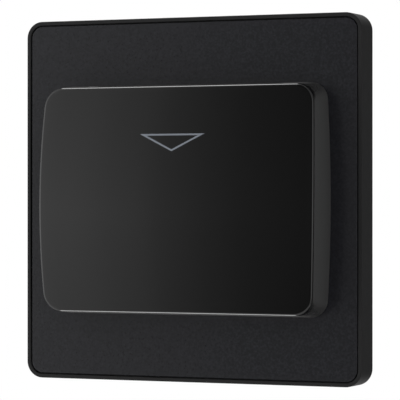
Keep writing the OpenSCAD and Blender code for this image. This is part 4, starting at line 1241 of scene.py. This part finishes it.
def tent_finish():
    """Glow of the tent: a ring by bearing that fades to its top and foot, and pale patches behind.

    Diffuse rays get the ambient light as well.
    """
    glow = bpy.data.materials.new("tent_glow")
    glow.use_nodes = True
    tree = glow.node_tree
    tree.nodes.clear()
    spot = tree.nodes.new("ShaderNodeTexCoord").outputs["Object"]
    axes = add_node(tree, "ShaderNodeSeparateXYZ", Vector=spot).outputs
    bearing = math_node(tree, "ARCTAN2", axes["X"], math_node(tree, "MULTIPLY", axes["Y"], -1.0))
    turn = math_node(tree, "MULTIPLY_ADD", bearing, 1 / math.tau, 0.5)
    ramp = add_node(tree, "ShaderNodeValToRGB", Fac=turn)
    ramp.color_ramp.interpolation = "EASE"
    stops = ramp.color_ramp.elements
    stops.remove(stops[1])
    for i, (degrees, bright) in enumerate(TENT_RING.items()):
        position = degrees / 360 + 0.5
        stop = stops[0] if i == 0 else stops.new(position)
        stop.position = position
        stop.color = (bright, bright, bright, 1.0)
    height = math_node(tree, "ABSOLUTE", math_node(tree, "DIVIDE", axes["Z"], studio().tent))
    ring = math_node(tree, "MULTIPLY", ramp.outputs["Color"], studio().tent_level)
    ring = math_node(tree, "MULTIPLY", ring, math_node(tree, "MULTIPLY_ADD", height, -TENT_FALL, 1.0))
    off_level = fade(tree, height, *[math.sin(math.radians(degrees)) for degrees in PATCH_RISE])
    off_front = math_node(tree, "ABSOLUTE", math_node(tree, "SUBTRACT", turn, 0.5))
    behind = fade(tree, off_front, *[degrees / 360 for degrees in PATCH_BEARING])
    patch = math_node(tree, "MULTIPLY", off_level, behind)
    seen = math_node(tree, "MULTIPLY_ADD", patch, studio().rear_level, ring)
    diffuse = tree.nodes.new("ShaderNodeLightPath").outputs["Is Diffuse Ray"]
    total = math_node(tree, "MULTIPLY_ADD", diffuse, studio().ambient, seen)
    light = add_node(tree, "ShaderNodeEmission", Strength=total)
    add_node(tree, "ShaderNodeOutputMaterial", Surface=light.outputs["Emission"])
    glow.cycles.emission_sampling = "NONE"
    return glow


def build_tent():
    """A wide round tent about the object, seen only in reflections and as light."""
    bm = bmesh.new()
    bmesh.ops.create_uvsphere(bm, u_segments=64, v_segments=32, radius=studio().tent)
    tent = new_object("tent", mesh_from(bm, "tent"))
    tent.data.materials.append(tent_finish())
    tent.visible_camera = False
    tent.visible_shadow = False


def build_floor():
    """A plain pale floor below the object."""
    bm = bmesh.new()
    bmesh.ops.create_circle(bm, cap_ends=True, segments=96, radius=studio().floor_radius)
    for vert in bm.verts:
        vert.co.z = studio().floor_z
    floor = new_object("floor", mesh_from(bm, "floor"))
    finish = Finish("floor_pale")
    grain = finish.group("moulded_grain", Grains=60.0, Patches=4.0)
    finish.give(Base_Color=finish.tones(grain["Mottle"], 0.01), Roughness=0.8)
    floor.data.materials.append(finish.material)


def build_world():
    """White to the camera, in gloss and through glass; a low even light otherwise."""
    world = bpy.data.worlds.new("studio")
    bpy.context.scene.world = world
    world.use_nodes = True
    tree = world.node_tree
    tree.nodes.clear()
    rays = tree.nodes.new("ShaderNodeLightPath").outputs
    seen = math_node(tree, "MAXIMUM", rays["Is Camera Ray"], rays["Is Glossy Ray"])
    seen = math_node(tree, "MAXIMUM", seen, rays["Is Transmission Ray"])
    light = add_node(tree, "ShaderNodeBackground", Strength=studio().ambient)
    white = add_node(tree, "ShaderNodeBackground", Color=(1.0, 1.0, 1.0))
    choice = tree.nodes.new("ShaderNodeMixShader")
    for socket, value in zip(choice.inputs, (seen, light.outputs[0], white.outputs[0])):
        feed(tree, socket, value)
    add_node(tree, "ShaderNodeOutputWorld", Surface=choice.outputs[0])


def build_camera():
    """The camera at the photograph's angle, level with the plate's middle."""
    view = studio()
    lens = bpy.data.cameras.new("camera")
    lens.lens = view.lens
    lens.sensor_width = 36.0
    lens.shift_x = view.shift_x
    lens.shift_y = view.shift_y
    camera = new_object("camera", lens)
    back = Vector((math.sin(view.turn), -math.cos(view.turn), 0))
    camera.location = Vector((0, -PLATE_FRONT, 0)) + back * view.distance
    camera.rotation_euler = back.to_track_quat("Z", "Y").to_euler()
    bpy.context.scene.camera = camera


# The add-on's steps

class KEYSWITCH_OT_stage(bpy.types.Operator):
    """Makes the camera, the world, the tent, the floor and the lamps"""

    bl_idname = "keyswitch.stage"
    bl_label = "Stage"

    def execute(self, context):
        context.scene.view_settings.view_transform = "Standard"
        build_camera()
        build_world()
        build_tent()
        build_floor()
        build_lamps()
        return {"FINISHED"}


class KEYSWITCH_OT_plate(bpy.types.Operator):
    """Makes the plate's frame and its grained face"""

    bl_idname = "keyswitch.plate"
    bl_label = "Frame and face plate"

    def execute(self, context):
        build_frame()
        build_face()
        return {"FINISHED"}


class KEYSWITCH_OT_cover(bpy.types.Operator):
    """Makes the card cover"""

    bl_idname = "keyswitch.cover"
    bl_label = "Card cover"

    def execute(self, context):
        build_cover()
        return {"FINISHED"}


class KEYSWITCH_OT_arrow(bpy.types.Operator):
    """Makes the arrow line on the cover"""

    bl_idname = "keyswitch.arrow"
    bl_label = "Arrow line"

    def execute(self, context):
        build_arrow()
        return {"FINISHED"}


class KEYSWITCH_OT_bed(bpy.types.Operator):
    """Makes the bed behind the card, with its light guide, lever, pin and spring"""

    bl_idname = "keyswitch.bed"
    bl_label = "Bed and lever"

    def execute(self, context):
        for piece in BED_PIECES:
            softened(*piece)
        build_spring()
        return {"FINISHED"}


class KEYSWITCH_OT_rear(bpy.types.Operator):
    """Makes the strap, the earth clamp, the housing and the brass clamps"""

    bl_idname = "keyswitch.rear"
    bl_label = "Strap, housing and clamps"

    def execute(self, context):
        for piece in REAR_PIECES:
            softened(*piece)
        return {"FINISHED"}


class KEYSWITCH_OT_screws(bpy.types.Operator):
    """Makes the fixing, housing, terminal and earth screws"""

    bl_idname = "keyswitch.screws"
    bl_label = "Screws"

    def execute(self, context):
        for node, sizes in SCREWS.items():
            set_of_screws(node, **sizes)
        return {"FINISHED"}


class KEYSWITCH_OT_electrics(bpy.types.Operator):
    """Makes the snap switch, the board and what is on it"""

    bl_idname = "keyswitch.electrics"
    bl_label = "Switch and board"

    def execute(self, context):
        for piece in ELECTRIC_PIECES:
            softened(*piece)
        return {"FINISHED"}


class KEYSWITCH_PT_looks(bpy.types.Panel):
    """Lists the steps that build the switch, and its sizes and colours"""

    bl_idname = "KEYSWITCH_PT_looks"
    bl_label = "Key card switch"
    bl_space_type = "VIEW_3D"
    bl_region_type = "UI"
    bl_category = "Key card switch"

    def draw(self, context):
        for operator in OPERATORS:
            self.layout.operator(operator.bl_idname)
        for name in GROUPS:
            self.layout.separator()
            group = getattr(context.scene, name)
            for label in group.__annotations__:
                self.layout.prop(group, label)


OPERATORS = (
    KEYSWITCH_OT_stage,
    KEYSWITCH_OT_plate,
    KEYSWITCH_OT_cover,
    KEYSWITCH_OT_arrow,
    KEYSWITCH_OT_bed,
    KEYSWITCH_OT_rear,
    KEYSWITCH_OT_screws,
    KEYSWITCH_OT_electrics,
)
GROUPS = {
    "key_plate": PlateSizes,
    "key_cover": CoverSizes,
    "key_rear": RearSizes,
    "key_finishes": Finishes,
    "key_studio": StudioSettings,
}


def register():
    for kind in (*GROUPS.values(), *OPERATORS, KEYSWITCH_PT_looks):
        bpy.utils.register_class(kind)
    for name, kind in GROUPS.items():
        setattr(bpy.types.Scene, name, PointerProperty(type=kind))


def unregister():
    for name in GROUPS:
        delattr(bpy.types.Scene, name)
    for kind in reversed((*GROUPS.values(), *OPERATORS, KEYSWITCH_PT_looks)):
        bpy.utils.unregister_class(kind)


def main():
    """Registers the add-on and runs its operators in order."""
    register()
    bpy.ops.keyswitch.stage()
    bpy.ops.keyswitch.plate()
    bpy.ops.keyswitch.cover()
    bpy.ops.keyswitch.arrow()
    bpy.ops.keyswitch.bed()
    bpy.ops.keyswitch.rear()
    bpy.ops.keyswitch.screws()
    bpy.ops.keyswitch.electrics()


if __name__ == "__main__":
    main()
